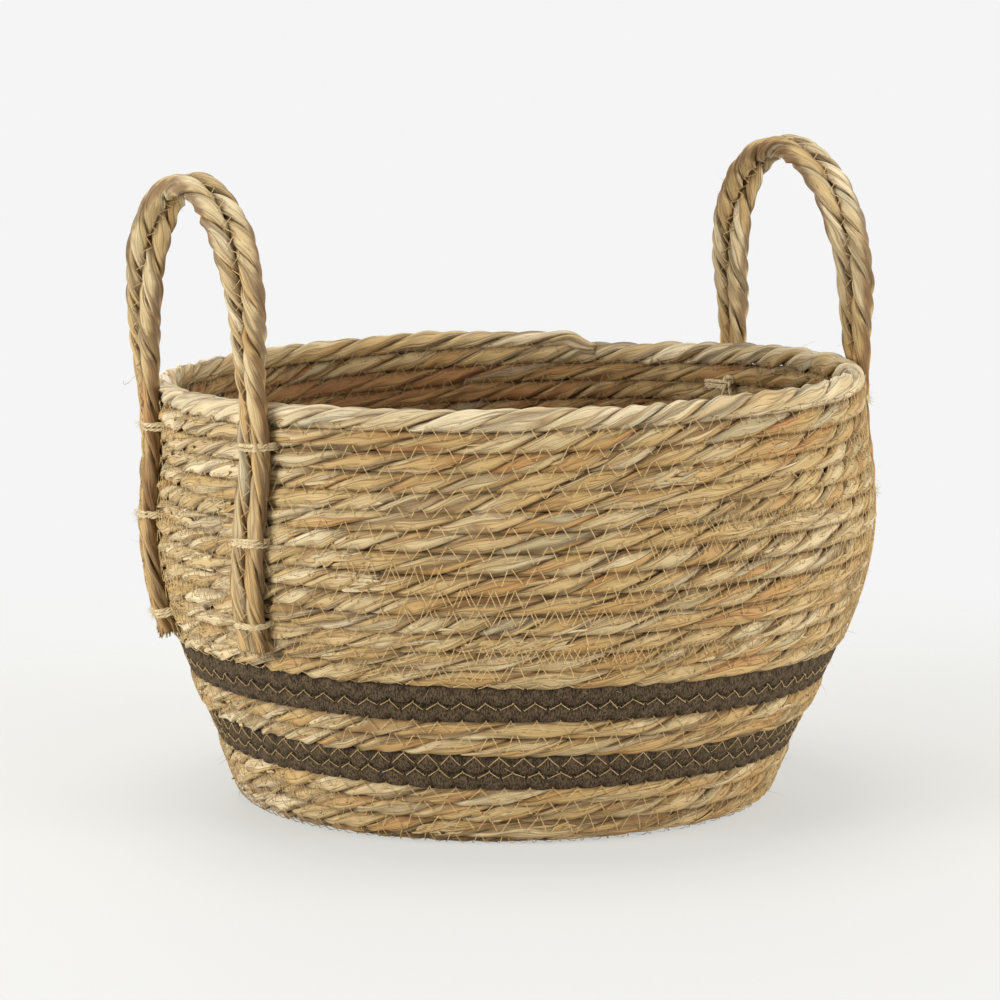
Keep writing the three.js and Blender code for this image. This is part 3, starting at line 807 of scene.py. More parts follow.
def coiled_rush(name, node, first, last, spacing, sides, finish, seed):
    """Rush rope coiled down the wall or over the floor, one piece for each strand."""
    rng = np.random.default_rng(seed)
    before = JOIN_LENGTH if first else ROPE_END_BEYOND
    run, turns = coil_path(first, last, spacing, before, JOIN_LENGTH)
    past_start, to_end = run - run[0], run[-1] - run
    tucked = np.zeros(len(run)) if first else smoothstep(ROPE_END_TUCK, 0, past_start)
    along = ROPE_END - ROW_PITCH * turns + strays(past_start, ROW_STRAYS_UP, rng)
    along = along - ROPE_END_DROPS * ROW_PITCH * tucked
    out = strays(past_start, ROW_STRAYS_OUT, rng) - ROPE_END_SINKS * tucked
    size = 1 - (1 - ROPE_END_SIZE) * tucked ** 1.5
    if not first:
        slim = ROPE_END_SLIMNESS * smoothstep(ROPE_END_SLIMS, ROPE_END_TUCK, past_start) * (1 - tucked)
        size = size * (1 - slim)
        along = along - slim * WALL_ROPE_RADIUS
    joined = (first > 0) * smoothstep(2 * JOIN_LENGTH, 0, past_start)
    joined = joined + (last < EYE_TURN) * smoothstep(2 * JOIN_LENGTH, 0, to_end)
    size = size * (1 - JOIN_THINS * joined)
    centre, outward, _ = beside_wall(along, coil_angle(turns), out - JOIN_SINKS * joined)
    if last >= EYE_TURN:
        centre, outward, size, turns = with_eye(centre, outward, size, turns, spacing)
        run = run_along(centre)
    rough = roughness_at(coil_angle(turns))
    pale = RIM_PALE * smoothstep(*RIM_PALE_TURNS, turns) + ROUGH_PALE * (rough - 1)
    pull = pinched(run, turns, RUSH_DENT_PLACE, RUSH_DENT_SPREAD, RUSH_DENT_LENGTH)
    strands = laid_strands(
        centre, outward, WALL_LAY, WALL_ROPE_RADIUS, sides, rng, size=size, rough=rough,
        pale=pale[:, None], inside=inside_brown_and_shade(turns)[:, None], lay_strays=WALL_LAY_STRAYS,
        pinch=lambda sideways: RUSH_DENT * pull(sideways),
        top_seam=smoothstep(*RIM_SEAM_TURNS, turns)[:, None],
    )
    for letter, strand in zip("ab", strands):
        basket_piece(f"{name}_strand_{letter}", [strand], finish, node, LOWEST_LEAF)


def with_eye(centre, outward, size, turns, spacing):
    """The floor's rope, wound on into the middle until it closes the eye."""
    radius = np.linalg.norm(centre[-1, :2])
    angle = math.atan2(centre[-1, 1], centre[-1, 0])
    part = np.linspace(0, 1, int(EYE_TURNS * 2 * math.pi * radius / spacing))[1:]
    inward = radius * (1 - EYE_CLOSES * part)
    turned = angle + 2 * math.pi * EYE_TURNS * part
    height = centre[-1, 2] + EYE_LIFTS * smoothstep(0.5, 1, part)
    eye = columns(inward * np.cos(turned), inward * np.sin(turned), height)
    return (
        np.concatenate([centre, eye]),
        np.concatenate([outward, np.broadcast_to(outward[-1], eye.shape)]),
        np.concatenate([size, 1 - (1 - EYE_SIZE) * part]),
        np.concatenate([turns, np.full(len(part), turns[-1])]),
    )


def is_cord(row):
    """Whether a row, counted down from the rim, is brown cord."""
    upper = (row >= UPPER_CORD_TURN) & (row < MIDDLE_RUSH_TURN)
    return upper | ((row >= LOWER_CORD_TURN) & (row < FOOT_TURN))


def stitch_heights(turn):
    """How far the holes of the stitches lie above and below the seam over a turn, and whether
    the rows above and below it are cotton cord."""
    row_above, row_below = np.floor(turn - 1 + 1e-6), np.floor(turn + 1e-6)
    above, below = is_cord(row_above), is_cord(row_below)
    kinds = [above & below, above, below & (row_below == UPPER_CORD_TURN), below]
    values = [CORD_STITCH, BAND_FOOT_STITCH, UPPER_BAND_TOP_STITCH, LOWER_BAND_TOP_STITCH]
    up, down = (np.select(kinds, [value[k] for value in values], RUSH_STITCH[k]) for k in (0, 1))
    return up, down, above, below


def coiled_cord(name, node, first, last, finish, seed):
    """Brown cotton cord, drawn in where the stitches go through it."""
    rng = np.random.default_rng(seed)
    seam_run, turns = coil_path(first, last, CORD_SPACING)
    run = seam_run - seam_run[0]
    centre, outward, _ = beside_wall(ROPE_END - ROW_PITCH * turns, coil_angle(turns))
    outward, across = frames_along(centre, outward)
    around = np.linspace(0, 2 * math.pi, CORD_SIDES, endpoint=False)[None]
    cosine, sine = np.cos(around), np.sin(around)
    full = (np.abs(cosine) ** CORD_FULLNESS + np.abs(sine) ** CORD_FULLNESS) ** (-1 / CORD_FULLNESS)
    toward, upward = cosine * full, sine * full
    dents = pinched(seam_run, turns, STITCH_DENT_PLACE, STITCH_DENT_SPREAD, STITCH_DENT_LENGTH)
    dent = dents(upward)
    from_end = np.clip(np.minimum(run, run[-1] - run) / CORD_END, 0, 1)
    rounded = CORD_END_SIZE + (1 - CORD_END_SIZE) * np.sqrt(1 - (1 - from_end) ** 2)
    fuzz = (rounded * (1 + strays(run, CORD_STRAYS, rng)))[:, None]
    points = beside(
        centre, outward, across, (CORD_DEPTH * fuzz - STITCH_DENT * dent) * toward,
        CORD_HEIGHT * fuzz * upward,
    )
    fibre = columns(run[:, None], CORD_DEPTH * toward, CORD_HEIGHT * upward)
    # Painted shade at the stitch dents and along the seam between the cords
    shade = np.clip(dent + CORD_SEAM_SHADE * smoothstep(*CORD_SEAM, np.abs(upward)), 0, 1)
    basket_piece(name, [tube(points, fibre, shade)], finish, node)


def round_tube(centre, radius, sides, outward=None, shade=0.0):
    """A round tube of one radius, or of one radius per point, along a path."""
    if outward is None:
        tangent = unit(np.gradient(centre, axis=0))
        axis = np.eye(3)[int(np.argmin(np.abs(tangent.mean(0))))]
        outward = np.broadcast_to(axis, centre.shape)
    outward, across = frames_along(centre, outward)
    around = np.linspace(0, 2 * math.pi, sides, endpoint=False)
    radius = np.broadcast_to(radius, len(centre))[:, None]
    points = beside(centre, outward, across, radius * np.cos(around), radius * np.sin(around))
    return tube(points, shade=shade)


def yarn(centre, rng):
    """Three soft plies of twine twisted round each other along a path."""
    run = run_along(centre)
    tangent = unit(np.gradient(centre, axis=0))
    axis = np.eye(3)[int(np.argmin(np.abs(tangent).max(0)))]
    outward, across = frames_along(centre, np.broadcast_to(axis, centre.shape))
    turn = 2 * math.pi * run / TWINE_LAY + rng.uniform(0, ANY_TURN)
    plies = []
    for ply in range(PLIES):
        away = PLY_RADIUS * PLY_PLACE * (1 + strays(run, PLY_STRAYS_OUT, rng))
        ply_turn = turn + ply * 2 * math.pi / PLIES + strays(run, PLY_STRAYS_ROUND, rng)
        path = beside(centre, outward, across, away * np.cos(ply_turn), away * np.sin(ply_turn))
        radius = PLY_RADIUS * (1 + strays(run, PLY_STRAYS_THICK, rng))
        plies.append(round_tube(path, radius, PLY_SIDES, outward))
    return plies


def hair(start, direction, length, radius, curl, rng):
    """A single stray fibre, thin at its tip."""
    part = np.linspace(0, 1, HAIR_POINTS)[:, None]
    bend = unit(np.cross(direction, rng.normal(size=3)))
    path = start + length * (part * direction + curl * part ** 2 * bend)
    return round_tube(path, radius * (1 - HAIR_TAPER * part[:, 0]), 3)


def sliver(path, width, outward, thickness=0.22, pale=0.1):
    """A flat strip of leaf along a path, pointed at both ends."""
    outward, across = frames_along(path, outward)
    part = np.linspace(0, 1, len(path))
    shape = np.clip(np.sin(math.pi * np.clip(part, 0.02, 0.98)) ** STRIP_FULLNESS, STRIP_TIP, 1)[:, None]
    around = np.linspace(0, 2 * math.pi, 6, endpoint=False)
    aside, out = width / 2 * np.cos(around), thickness * np.sin(around)
    points = beside(path, outward, across, out, aside * shape)
    fibre = columns(run_along(path)[:, None], aside + 3 * path[0, 0], out)
    return tube(points, fibre, 0.0, pale)


# Sewing thread

def row_cover(height, above, below):
    """How far out the rows reach at a height over the seam between them."""
    from_middle = np.abs(ROW_PITCH / 2 - np.abs(height))
    rush = np.sqrt(np.maximum(RUSH_COVER ** 2 - from_middle ** 2, 0))
    part = np.clip(from_middle / CORD_HEIGHT, 0, 1)
    cord = CORD_DEPTH * (1 - part ** CORD_FULLNESS) ** (1 / CORD_FULLNESS)
    return np.where(np.where(height > 0, above, below), cord, rush)


def seam_thread(first, last, side, rng, shift=0.0, taller=1.0):
    """One zigzag thread over the seams from one turn to another, outside (1) or inside (-1)."""
    start, end = np.interp([first, last], TURNS, TURN_RUNS)
    holes = np.arange(math.ceil(start / STITCH), math.floor(end / STITCH))
    place = (holes + shift) * STITCH + rng.normal(0, STITCH_STRAYS, len(holes))
    turns = np.interp(place, TURN_RUNS, TURNS)
    up, down, above, below = stitch_heights(turns)
    in_rush = ~(above | below)
    height = np.where(holes % 2, -down, up)
    uneven = 1 + strays(holes * STITCH - start, SEWING_STRAYS, rng)
    uneven = uneven + TALL_STITCHES * smoothstep(*TALL_STITCH_TURNS, turns)
    height = np.where(in_rush, height * uneven * taller, height)
    height = height + rng.normal(0, STITCH_HEIGHT_STRAYS, len(holes))
    rush_hides, cord_hides = rng.uniform(*RUSH_HIDES, len(holes)), np.where(holes % 2, *CORD_HIDES)
    hidden = np.where(in_rush, rush_hides, cord_hides)
    leaves, enters = place[:-1] + hidden[:-1], place[1:] - hidden[1:]
    stroke_runs = leaves[:, None] + (enters - leaves)[:, None] * STROKE_PARTS
    stroke_heights = height[:-1, None] + np.diff(height)[:, None] * STROKE_PARTS
    above, below = above[:-1, None], below[:-1, None]
    cover = row_cover(stroke_heights, above, below)
    taut = cover[:, :1] + (cover[:, -1:] - cover[:, :1]) * STROKE_PARTS
    on_cord = np.where(stroke_heights > 0, above, below)
    outs = np.maximum(cover, taut) + np.where(on_cord, CORD_THREAD_LIFT, RUSH_THREAD_LIFT)
    outs[:, (0, -1)] -= HOLE_DEPTH
    turn_path = np.interp(stroke_runs.ravel(), TURN_RUNS, TURNS)
    along = ROPE_END - ROW_PITCH * (turn_path - 0.5) + stroke_heights.ravel()
    path, outward, _ = beside_wall(along, coil_angle(turn_path), side * outs.ravel())
    shade = np.maximum(CORD_THREAD_SHADE * on_cord.ravel(), INNER_THREAD_SHADE if side < 0 else 0)
    return round_tube(path, THREAD_RADIUS, THREAD_SIDES, outward, shade=shade[:, None])


def extra_stitches(rng):
    """Stretches where the seam was sewn a second time, taller and out of step."""
    tubes = []
    while len(tubes) < SECOND_SEWING:
        first = rng.uniform(SECOND_STARTS, BASE_TURN - 1.5)
        if first < SECOND_RARE_ABOVE and rng.random() < SECOND_RARITY:
            continue
        if UPPER_CORD_TURN - 0.1 < first < FOOT_TURN:
            continue
        last = first + rng.uniform(*SECOND_TURNS)
        tubes.append(seam_thread(
            first, last, 1, rng, rng.uniform(*SECOND_SHIFT), rng.uniform(*SECOND_HEIGHT),
        ))
    return tubes


# The handles

def leg_frame(side, end):
    """Where a leg stands: its direction from the middle, its sideways direction and its rows."""
    sign = -1 if side == "left" else 1
    angle = math.radians((180 - end * LEG_ANGLE) if sign < 0 else end * LEG_ANGLE)
    to_back = np.array([-math.sin(angle), math.cos(angle), 0])
    if to_back[1] < 0:
        to_back = -to_back
    turns_to_end = ((math.degrees(angle) - ROPE_END_ANGLE) % 360) / 360
    return {
        "angle": angle,
        "to_back": to_back,
        "top_row": ROPE_END - turns_to_end * ROW_PITCH,
        "length": FRONT_LEG_LENGTH if end < 0 else BACK_LEG_LENGTH,
        "seams": FRONT_TIE_SEAMS if end < 0 else BACK_TIE_SEAMS,
        "end": end,
    }


def by_leg(leg, across, along, out):
    """Points beside a leg: across it, along the wall and out from the wall's middle."""
    points, outward, _ = beside_wall(along, leg["angle"], out)
    return points + np.asarray(across, float)[..., None] * leg["to_back"], outward


def handle_path(side):
    """The middle line between a handle's two ropes, with the direction from rope to rope."""
    legs = [leg_frame(side, end) for end in (-1, 1)]
    sign = -1 if side == "left" else 1
    lean = HANDLE_LEANS[side]
    tops = [by_leg(leg, 0.0, leg["top_row"] + ROPE_FLAT, LEG_LINE)[0] for leg in legs]
    hinge_height = max(top[2] for top in tops) + HINGE_RISE
    hinge_x = sign * max(abs(top[0]) for top in tops)
    front_y, back_y = (top[1] for top in tops)

    points, across = [], []
    for leg in legs:
        top = leg["top_row"] + ROPE_FLAT
        along = np.linspace(top - leg["length"], top - LEG_TURN, LEG_POINTS)
        on_wall, _ = by_leg(leg, 0.0, along, LEG_LINE)
        points.append(on_wall[::-leg["end"]])
        across.append(np.broadcast_to(leg["to_back"], on_wall.shape))

    rise = RIM_HEIGHT + HANDLE_RISE - hinge_height
    straight = rise - ARCH_RISE
    half = (back_y - front_y) / 2
    turn = np.linspace(0, math.pi, ARCH_POINTS)
    climb = np.linspace(0, straight, CLIMB_POINTS, endpoint=False)
    y = np.concatenate([
        np.full(CLIMB_POINTS, front_y), (front_y + back_y) / 2 - half * np.cos(turn),
        np.full(CLIMB_POINTS, back_y),
    ])
    z = np.concatenate([climb, straight + ARCH_RISE * np.sin(turn), climb[::-1]])
    arch = columns(hinge_x - lean * z / rise, y, hinge_height + z)
    part = run_along(arch) / run_along(arch)[-1]
    swing = math.pi / 2 * np.sin(math.pi * part) ** 2
    arch_across = columns(-np.sin(swing), np.cos(swing), 0)

    joined = np.concatenate([points[0], arch, points[1]])
    joined_across = np.concatenate([across[0], arch_across, across[1]])
    both = evenly(np.concatenate([joined, ACROSS_WEIGHT * joined_across], -1), PATH_SPACING)
    path, sideways = softened(both[:, :3], SOFT_BENDS), softened(both[:, 3:], SOFT_TURNS)
    tangent = unit(np.gradient(path, axis=0))
    return path, unit(sideways - (sideways * tangent).sum(1)[:, None] * tangent)


def handle(side, finishes, seed):
    """Two laid ropes side by side, sewn together down their valley."""
    rng = np.random.default_rng(seed)
    path, sideways = handle_path(side)
    outward = np.cross(sideways, unit(np.gradient(path, axis=0)))
    run = run_along(path)
    free = smoothstep(0, FREE_ENDS, run) * smoothstep(0, FREE_ENDS, run[-1] - run)
    on_front = smoothstep(LEG_FLATTENS, 0, run - FRONT_LEG_LENGTH)
    on_back = smoothstep(LEG_FLATTENS, 0, run[-1] - run - BACK_LEG_LENGTH)
    on_leg = on_front + on_back
    to_wall = (1 if side == "left" else -1) * LEG_ROPE_SINKS * (on_front - on_back)
    slant = LEG_SLANT * (
        smoothstep(FRONT_LEG_LENGTH, 0, run) - smoothstep(BACK_LEG_LENGTH, 0, run[-1] - run)
    )
    path = path + to_wall[:, None] * outward + slant[:, None] * sideways
    pieces = []
    for place, sign, first, last in (("right", -1, "outer", "inner"), ("left", 1, "inner", "outer")):
        gap = PAIR_OFFSET * (1 - LEG_PAIR_CLOSES * on_leg) + strays(run, PAIR_STRAYS_APART, rng) * free
        out = strays(run, PAIR_STRAYS_OUT, rng) * free
        strands = laid_strands(
            beside(path, outward, sideways, out, sign * gap), outward,
            HANDLE_LAY + (LEG_LAY - HANDLE_LAY) * on_leg, HANDLE_ROPE_RADIUS, HANDLE_SIDES, rng,
            size=1 - (1 - LEG_ROPE_WIDTH) * on_leg,
            depth=1 - (1 - LEG_ROPE_DEPTH / LEG_ROPE_WIDTH) * on_leg,
            rough=HANDLE_ROUGHNESS, valley=HANDLE_VALLEY,
            pale=(HANDLE_PALE - LEG_DARKER * on_leg)[:, None],
        )
        piece = make_piece(f"{side}_handle_{place}_rope", strands, finishes["handle_leaf"])
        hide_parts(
            f"{side}_front_leg_{first}", f"{side}_arch_{place}_rope", f"{side}_back_leg_{last}",
        )
        pieces.append(piece)
    line = (path, sideways, outward)
    pieces.append(handle_thread(side, *line, run, on_leg, finishes["thread"], rng))
    pieces.append(leaf_ends(side, *line, finishes["handle_leaf"], rng))
    pieces.append(handle_hairs(side, *line, finishes["loose_leaf"], rng))
    for piece in pieces:
        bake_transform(piece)


def handle_thread(side, path, sideways, outward, run, on_leg, finish, rng):
    """Zigzag thread over the valley between the two ropes, on both faces."""
    tubes = []
    for face in (1, -1):
        holes = np.arange(HANDLE_MARGIN, run[-1] - HANDLE_MARGIN, HANDLE_STITCH)
        holes = holes + rng.normal(0, STITCH_STRAYS, len(holes))
        width = HANDLE_STITCH_REACH * np.where(np.arange(len(holes)) % 2, -1, 1)
        width = width + rng.normal(0, HANDLE_STITCH_STRAYS, len(holes))
        place = (holes[:-1, None] + np.diff(holes)[:, None] * HANDLE_STROKE_PARTS).ravel()
        aside = (width[:-1, None] + np.diff(width)[:, None] * HANDLE_STROKE_PARTS).ravel()
        sunk = np.interp(place, run, 1 - LEG_THREAD_SINKS * on_leg)
        out = np.tile(HANDLE_STROKE_OUTS, len(holes) - 1) * sunk
        middle, facing, across = (read_at(place, run, values) for values in (path, outward, sideways))
        line = beside(middle, facing, across, face * out, aside)
        tubes.append(round_tube(line, THREAD_RADIUS, THREAD_SIDES, facing))
    return make_piece(f"{side}_handle_thread", tubes, finish)


def leaf_ends(side, path, sideways, outward, finish, rng):
    """Loose leaf ends that splay from the cut ends of a handle's ropes."""
    tubes = []
    part = np.linspace(0, 1, LEAF_END_POINTS)[:, None]
    for first, step in ((0, 1), (len(path) - 1, -1)):
        down = unit(path[first] - path[first + 4 * step])
        aside, out = sideways[first], outward[first]
        for offset in (-PAIR_OFFSET, PAIR_OFFSET):
            for _ in range(LEAF_ENDS):
                along, facing = rng.uniform(-1, 1, 2)
                root = path[first] - LEAF_END_HIDES * down
                root = root + (offset + LEAF_END_SPREAD * along) * aside + LEAF_END_SPREAD * facing * out
                length = rng.uniform(*LEAF_END_LENGTHS)
                away = LEAF_END_SPLAY * along * aside + (LEAF_END_LIFT + LEAF_END_FAN * facing) * out
                strip = root + part * length * down + part ** 2 * away * rng.uniform(0.3, 1.0)
                flat_side = np.broadcast_to(unit(out + LEAF_END_TURN * facing * aside), strip.shape)
                tubes.append(sliver(strip, rng.uniform(*LEAF_END_WIDTHS), flat_side))
    return make_piece(f"{side}_handle_leaf_ends", tubes, finish)


def handle_hairs(side, path, sideways, outward, finish, rng):
    """Stray fibres on a handle, and the hooked sprig that sticks out beside the rim on the left."""
    hairs = []
    for _ in range(HANDLE_HAIRS):
        index = rng.integers(4, len(path) - 4)
        turn = rng.uniform(0, 2 * math.pi)
        away = math.cos(turn) * sideways[index] + math.sin(turn) * outward[index]
        start = path[index] + (
            (PAIR_OFFSET + HANDLE_HAIR_ROOTS[0] * HANDLE_ROPE_RADIUS) * math.cos(turn) * sideways[index]
            + HANDLE_HAIR_ROOTS[1] * HANDLE_ROPE_RADIUS * math.sin(turn) * outward[index]
        )
        direction = unit(0.7 * away + rng.normal(0, 0.6, 3))
        length, radius = rng.uniform(*HANDLE_HAIR_LENGTHS), rng.uniform(*HANDLE_HAIR_RADII)
        hairs.append(hair(start, direction, length, radius, HAIR_CURL, rng))
    if side == "left":
        index = len(path) - 1 - int((BACK_LEG_LENGTH + SPRIG_ABOVE_RIM) / PATH_SPACING)
        root = path[index] + SPRIG_ASIDE * SCREEN_LEFT
        steps = np.array(HOOKED_SPRIG)
        sprig = root + steps[:, :1] * SCREEN_LEFT + steps[:, 1:] * np.array([0, 0, 1.0])
        sprig = softened(evenly(sprig, SPRIG_STEP), 1.0)
        hairs.append(round_tube(sprig, np.linspace(*SPRIG_RADII, len(sprig)), 3))
    return make_piece(f"{side}_handle_hairs", hairs, finish)


# Twine ties

def twine_loop():
    """One run of twine round a leg, over the arch of its face and back inside the wall."""
    turn = np.linspace(0, math.pi, 50)
    arch = columns(
        squared(np.cos(turn), TWINE_SQUARENESS) * TWINE_HALF_WIDTH,
        TWINE_LEAVES_WALL + (TWINE_TOP - TWINE_LEAVES_WALL) * np.sin(turn) ** TWINE_FULLNESS,
    )
    arch[:, 1] -= TWINE_DIP * np.exp(-(arch[:, 0] / TWINE_DIP_WIDTH) ** 2)
    inside = columns([-TWINE_INSIDE_WIDTH, 0, TWINE_INSIDE_WIDTH], TWINE_INSIDE)
    loop = evenly(np.concatenate([arch, inside, arch[:1]]), TWINE_STEP)
    ends = 20
    loop = softened(np.concatenate([loop[-ends:-1], loop, loop[1:ends]]), 1.0)
    return loop[ends - 1:2 - ends]


def tie(leg, seam, name, finish, rng):
    """Three loose runs of twine round a leg and through the wall, knotted inside."""
    along = leg["top_row"] - (seam - 0.5) * ROW_PITCH
    lean = -leg["end"] * LEG_SLANT * smoothstep(0, leg["length"], leg["top_row"] + ROPE_FLAT - along)
    tubes = []
    loop = twine_loop()
    part = np.linspace(0, 1, len(loop))
    for lift in TWINE_RUNS:
        wave = np.cos(2 * math.pi * part + rng.uniform(0, ANY_TURN))
        fork = lift * (TWINE_FORK + TWINE_FORK_STRAYS * wave)
        fork = fork + strays(part * TWINE_RUN_LENGTH, TWINE_STRAYS, rng)
        path, _ = by_leg(leg, loop[:, 0] + lean, along + fork, loop[:, 1])
        tubes += yarn(path, rng)
    out = TWINE_INSIDE - KNOT_STANDS
    turn = np.linspace(0, 2 * math.pi, 60)
    knot = KNOT_SIZE * columns(
        np.sin(turn) + 2 * np.sin(2 * turn), np.cos(turn) - 2 * np.cos(2 * turn), -1.2 * np.sin(3 * turn),
    )
    knot_across, knot_along = lean - leg["end"] * KNOT_ASIDE, along + KNOT_ABOVE
    path, _ = by_leg(leg, knot[:, 0] + knot_across, knot_along + knot[:, 1], out + knot[:, 2])
    tubes += yarn(path, rng)
    for length, spread in TAILS:
        part = np.linspace(0, 1, TAIL_POINTS)
        path, _ = by_leg(
            leg, knot_across + spread * part ** 0.7, knot_along - length * part,
            out - 0.8 * np.sin(3 * part),
        )
        tubes += yarn(path, rng)
    basket_piece(f"{name}_twine", tubes, finish, name)

    hairs = []
    for length, spread in TAILS:
        tip = by_leg(leg, knot_across + spread, knot_along - length, out)[0]
        for _ in range(TAIL_HAIRS):
            direction = unit(np.array([0, 0, -1.0]) + rng.normal(0, 0.35, 3))
            root = tip + rng.normal(0, 0.4, 3)
            hairs.append(hair(root, direction, rng.uniform(*TAIL_HAIR_LENGTHS), TAIL_HAIR_RADIUS, 0.3, rng))
    for _ in range(TIE_HAIRS):
        across = rng.uniform(-TIE_HAIR_WIDTH, TIE_HAIR_WIDTH)
        height = rng.uniform(-TIE_HAIR_HEIGHT, TIE_HAIR_HEIGHT)
        sunk = TWINE_FALLS * smoothstep(TWINE_FLAT_WIDTH, TIE_HAIR_WIDTH, abs(across))
        start, outward = by_leg(leg, across + lean, along + height, TWINE_TOP + TIE_HAIR_ROOT - sunk)
        direction = unit(
            outward * rng.uniform(0.0, 0.5) + leg["to_back"] * rng.normal(0, 1) + rng.normal(0, 0.45, 3)
        )
        length = rng.uniform(*TIE_HAIR_LENGTHS)
        hairs.append(hair(start, direction, length, TIE_HAIR_RADIUS, HAIR_CURL, rng))
    basket_piece(f"{name}_fuzz", hairs, finish)


# Stray fibres

def stray_hairs(finish, rng):
    """Thin fibres that stick out of the sewn rows."""
    hairs = []
    while len(hairs) < STRAY_HAIRS:
        turn = rng.uniform(0.1, BASE_TURN + 0.4)
        if rng.random() > STRAY_HAIR_CHANCE * roughness_at(coil_angle(turn)):
            continue
        side = 1 if rng.random() < 0.8 else -1
        along = ROPE_END - ROW_PITCH * turn + rng.uniform(-4, 4)
        start, outward, upward = beside_wall(along, coil_angle(turn), side * HAIR_ROOT)
        tangent = np.cross(upward, outward)
        lean = rng.normal(0, 1, 3)
        direction = unit(side * outward * abs(lean[0]) * 0.55 + tangent * lean[1] + upward * lean[2] * 0.7)
        length = rng.gamma(3.0, 1.7) + 1.5
        radius, curl = rng.uniform(*STRAY_HAIR_RADII), rng.uniform(*STRAY_HAIR_CURLS)
        hairs.append(hair(start, direction, length, radius, curl, rng))
    basket_piece("stray_hairs", hairs, finish, lowest=LOWEST_FIBRE)


def leaf_strip(turn, across, slope, length, width, curl, pale):
    """A strip of leaf that lies over a row, its ends tucked in or curling up."""
    part = np.linspace(0, 1, STRIP_POINTS)
    turns = turn + (part - 0.5) * length / (2 * math.pi * STRIP_RADIUS)
    climb = across + (part - 0.5) * slope
    tuck = STRIP_TUCKS[0] * smoothstep(0.2, 0.0, part)
    tuck = tuck + STRIP_TUCKS[1] * smoothstep(0.85, 1.0, part) * (curl == 0)
    lift = STRIP_LIFT - STRIP_BEND * climb ** 2 + curl * smoothstep(0.7, 1.0, part) - tuck
    path, outward, _ = beside_wall(ROPE_END - ROW_PITCH * turns + climb, coil_angle(turns), lift)
    return sliver(path, width, outward, STRIP_THICKNESS, pale)


def loose_slivers(finish, rng):
    """Torn strips of leaf that lie over the rows with the grain."""
    strips = []
    while len(strips) < LOOSE_STRIPS:
        turn = rng.uniform(0.4, BASE_TURN)
        if is_cord(int(turn)):
            continue
        rough = roughness_at(coil_angle(turn))
        if rng.random() > LOOSE_STRIP_CHANCE * rough:
            continue
        curl = rng.uniform(0, 2.2) if rng.random() < 0.2 * rough else 0.0
        strips.append(leaf_strip(
            turn, rng.uniform(-1.8, 1.8), rng.uniform(1.0, 5.0), rng.uniform(9, 26) / rough ** 0.5,
            rng.uniform(0.9, 2.6), curl, rng.uniform(0, 0.3),
        ))
    for angle, row in TORN_PLACES:
        turn = row + ((angle - ROPE_END_ANGLE) % 360) / 360
        for _ in range(TORN_STRIPS):
            place, across = turn + rng.normal(0, 0.007), rng.uniform(-3.4, 3.4)
            slope, length, width = rng.uniform(-1, 6), rng.uniform(7, 20), rng.uniform(1.2, 3.2)
            curl = rng.uniform(0, 1.6) * (rng.random() < 0.4)
            strips.append(leaf_strip(place, across, slope, length, width, curl, rng.uniform(0.1, 0.4)))
    basket_piece("loose_leaf_strips", strips, finish, lowest=LOWEST_FIBRE)


# Materials

def linear(red, green, blue):
    """A colour written as it looks, turned into the numbers that light adds up in."""
    values = [v / 255 for v in (red, green, blue)]
    return (*[v / 12.92 if v <= 0.04045 else ((v + 0.055) / 1.055) ** 2.4 for v in values], 1.0)


def put(tree, kind, inputs=None, **settings):
    """Adds a node, with plain values or other nodes' outputs on its inputs."""
    made = tree.nodes.new(kind)
    for key, value in settings.items():
        setattr(made, key, value)
    for key, value in (inputs or {}).items():
        if isinstance(value, bpy.types.NodeSocket):
            tree.links.new(value, made.inputs[key])
        else:
            made.inputs[key].default_value = value
    return made


def maths(tree, operation, first, second=0.0, clamp=False):
    return put(tree, "ShaderNodeMath", {0: first, 1: second}, operation=operation,
               use_clamp=clamp).outputs[0]


def times(tree, first, second):
    return maths(tree, "MULTIPLY", first, second)


def plus(tree, first, second, clamp=False):
    return maths(tree, "ADD", first, second, clamp)


def stretched(tree, vector, along, across):
    """A texture place that runs slowly along the fibre and fast across it."""
    return put(tree, "ShaderNodeVectorMath", {0: vector, 1: (along, across, across)},
               operation="MULTIPLY").outputs[0]


def noise(tree, vector, detail, roughness=0.5):
    return put(tree, "ShaderNodeTexNoise", {
        "Vector": vector, "Scale": 1.0, "Detail": detail, "Roughness": roughness,
    }).outputs["Fac"]


def grain(tree, fibre, along, across, detail, roughness=0.5):
    """Noise drawn out along the fibre."""
    return noise(tree, stretched(tree, fibre, along, across), detail, roughness)


def between(tree, value, low, high, to_low=0.0, to_high=1.0):
    return put(tree, "ShaderNodeMapRange", {
        "Value": value, "From Min": low, "From Max": high, "To Min": to_low, "To Max": to_high,
    }).outputs[0]


def mixed(tree, amount, first, second, blend="MIX"):
    made = put(tree, "ShaderNodeMix", data_type="RGBA", blend_type=blend)
    for socket, value in ((made.inputs[0], amount), (made.inputs[6], first), (made.inputs[7], second)):
        if isinstance(value, bpy.types.NodeSocket):
            tree.links.new(value, socket)
        else:
            socket.default_value = value
    return made.outputs[2]


def toned(tree, colour, value):
    return mixed(tree, 1.0, colour, value, "MULTIPLY")


def ramp(tree, value, stops):
    made = put(tree, "ShaderNodeValToRGB", {"Fac": value})
    elements = made.color_ramp.elements
    while len(elements) < len(stops):
        elements.new(1.0)
    for element, (place, colour) in zip(elements, stops):
        element.position = place
        element.color = linear(*colour)
    return made.outputs["Color"]


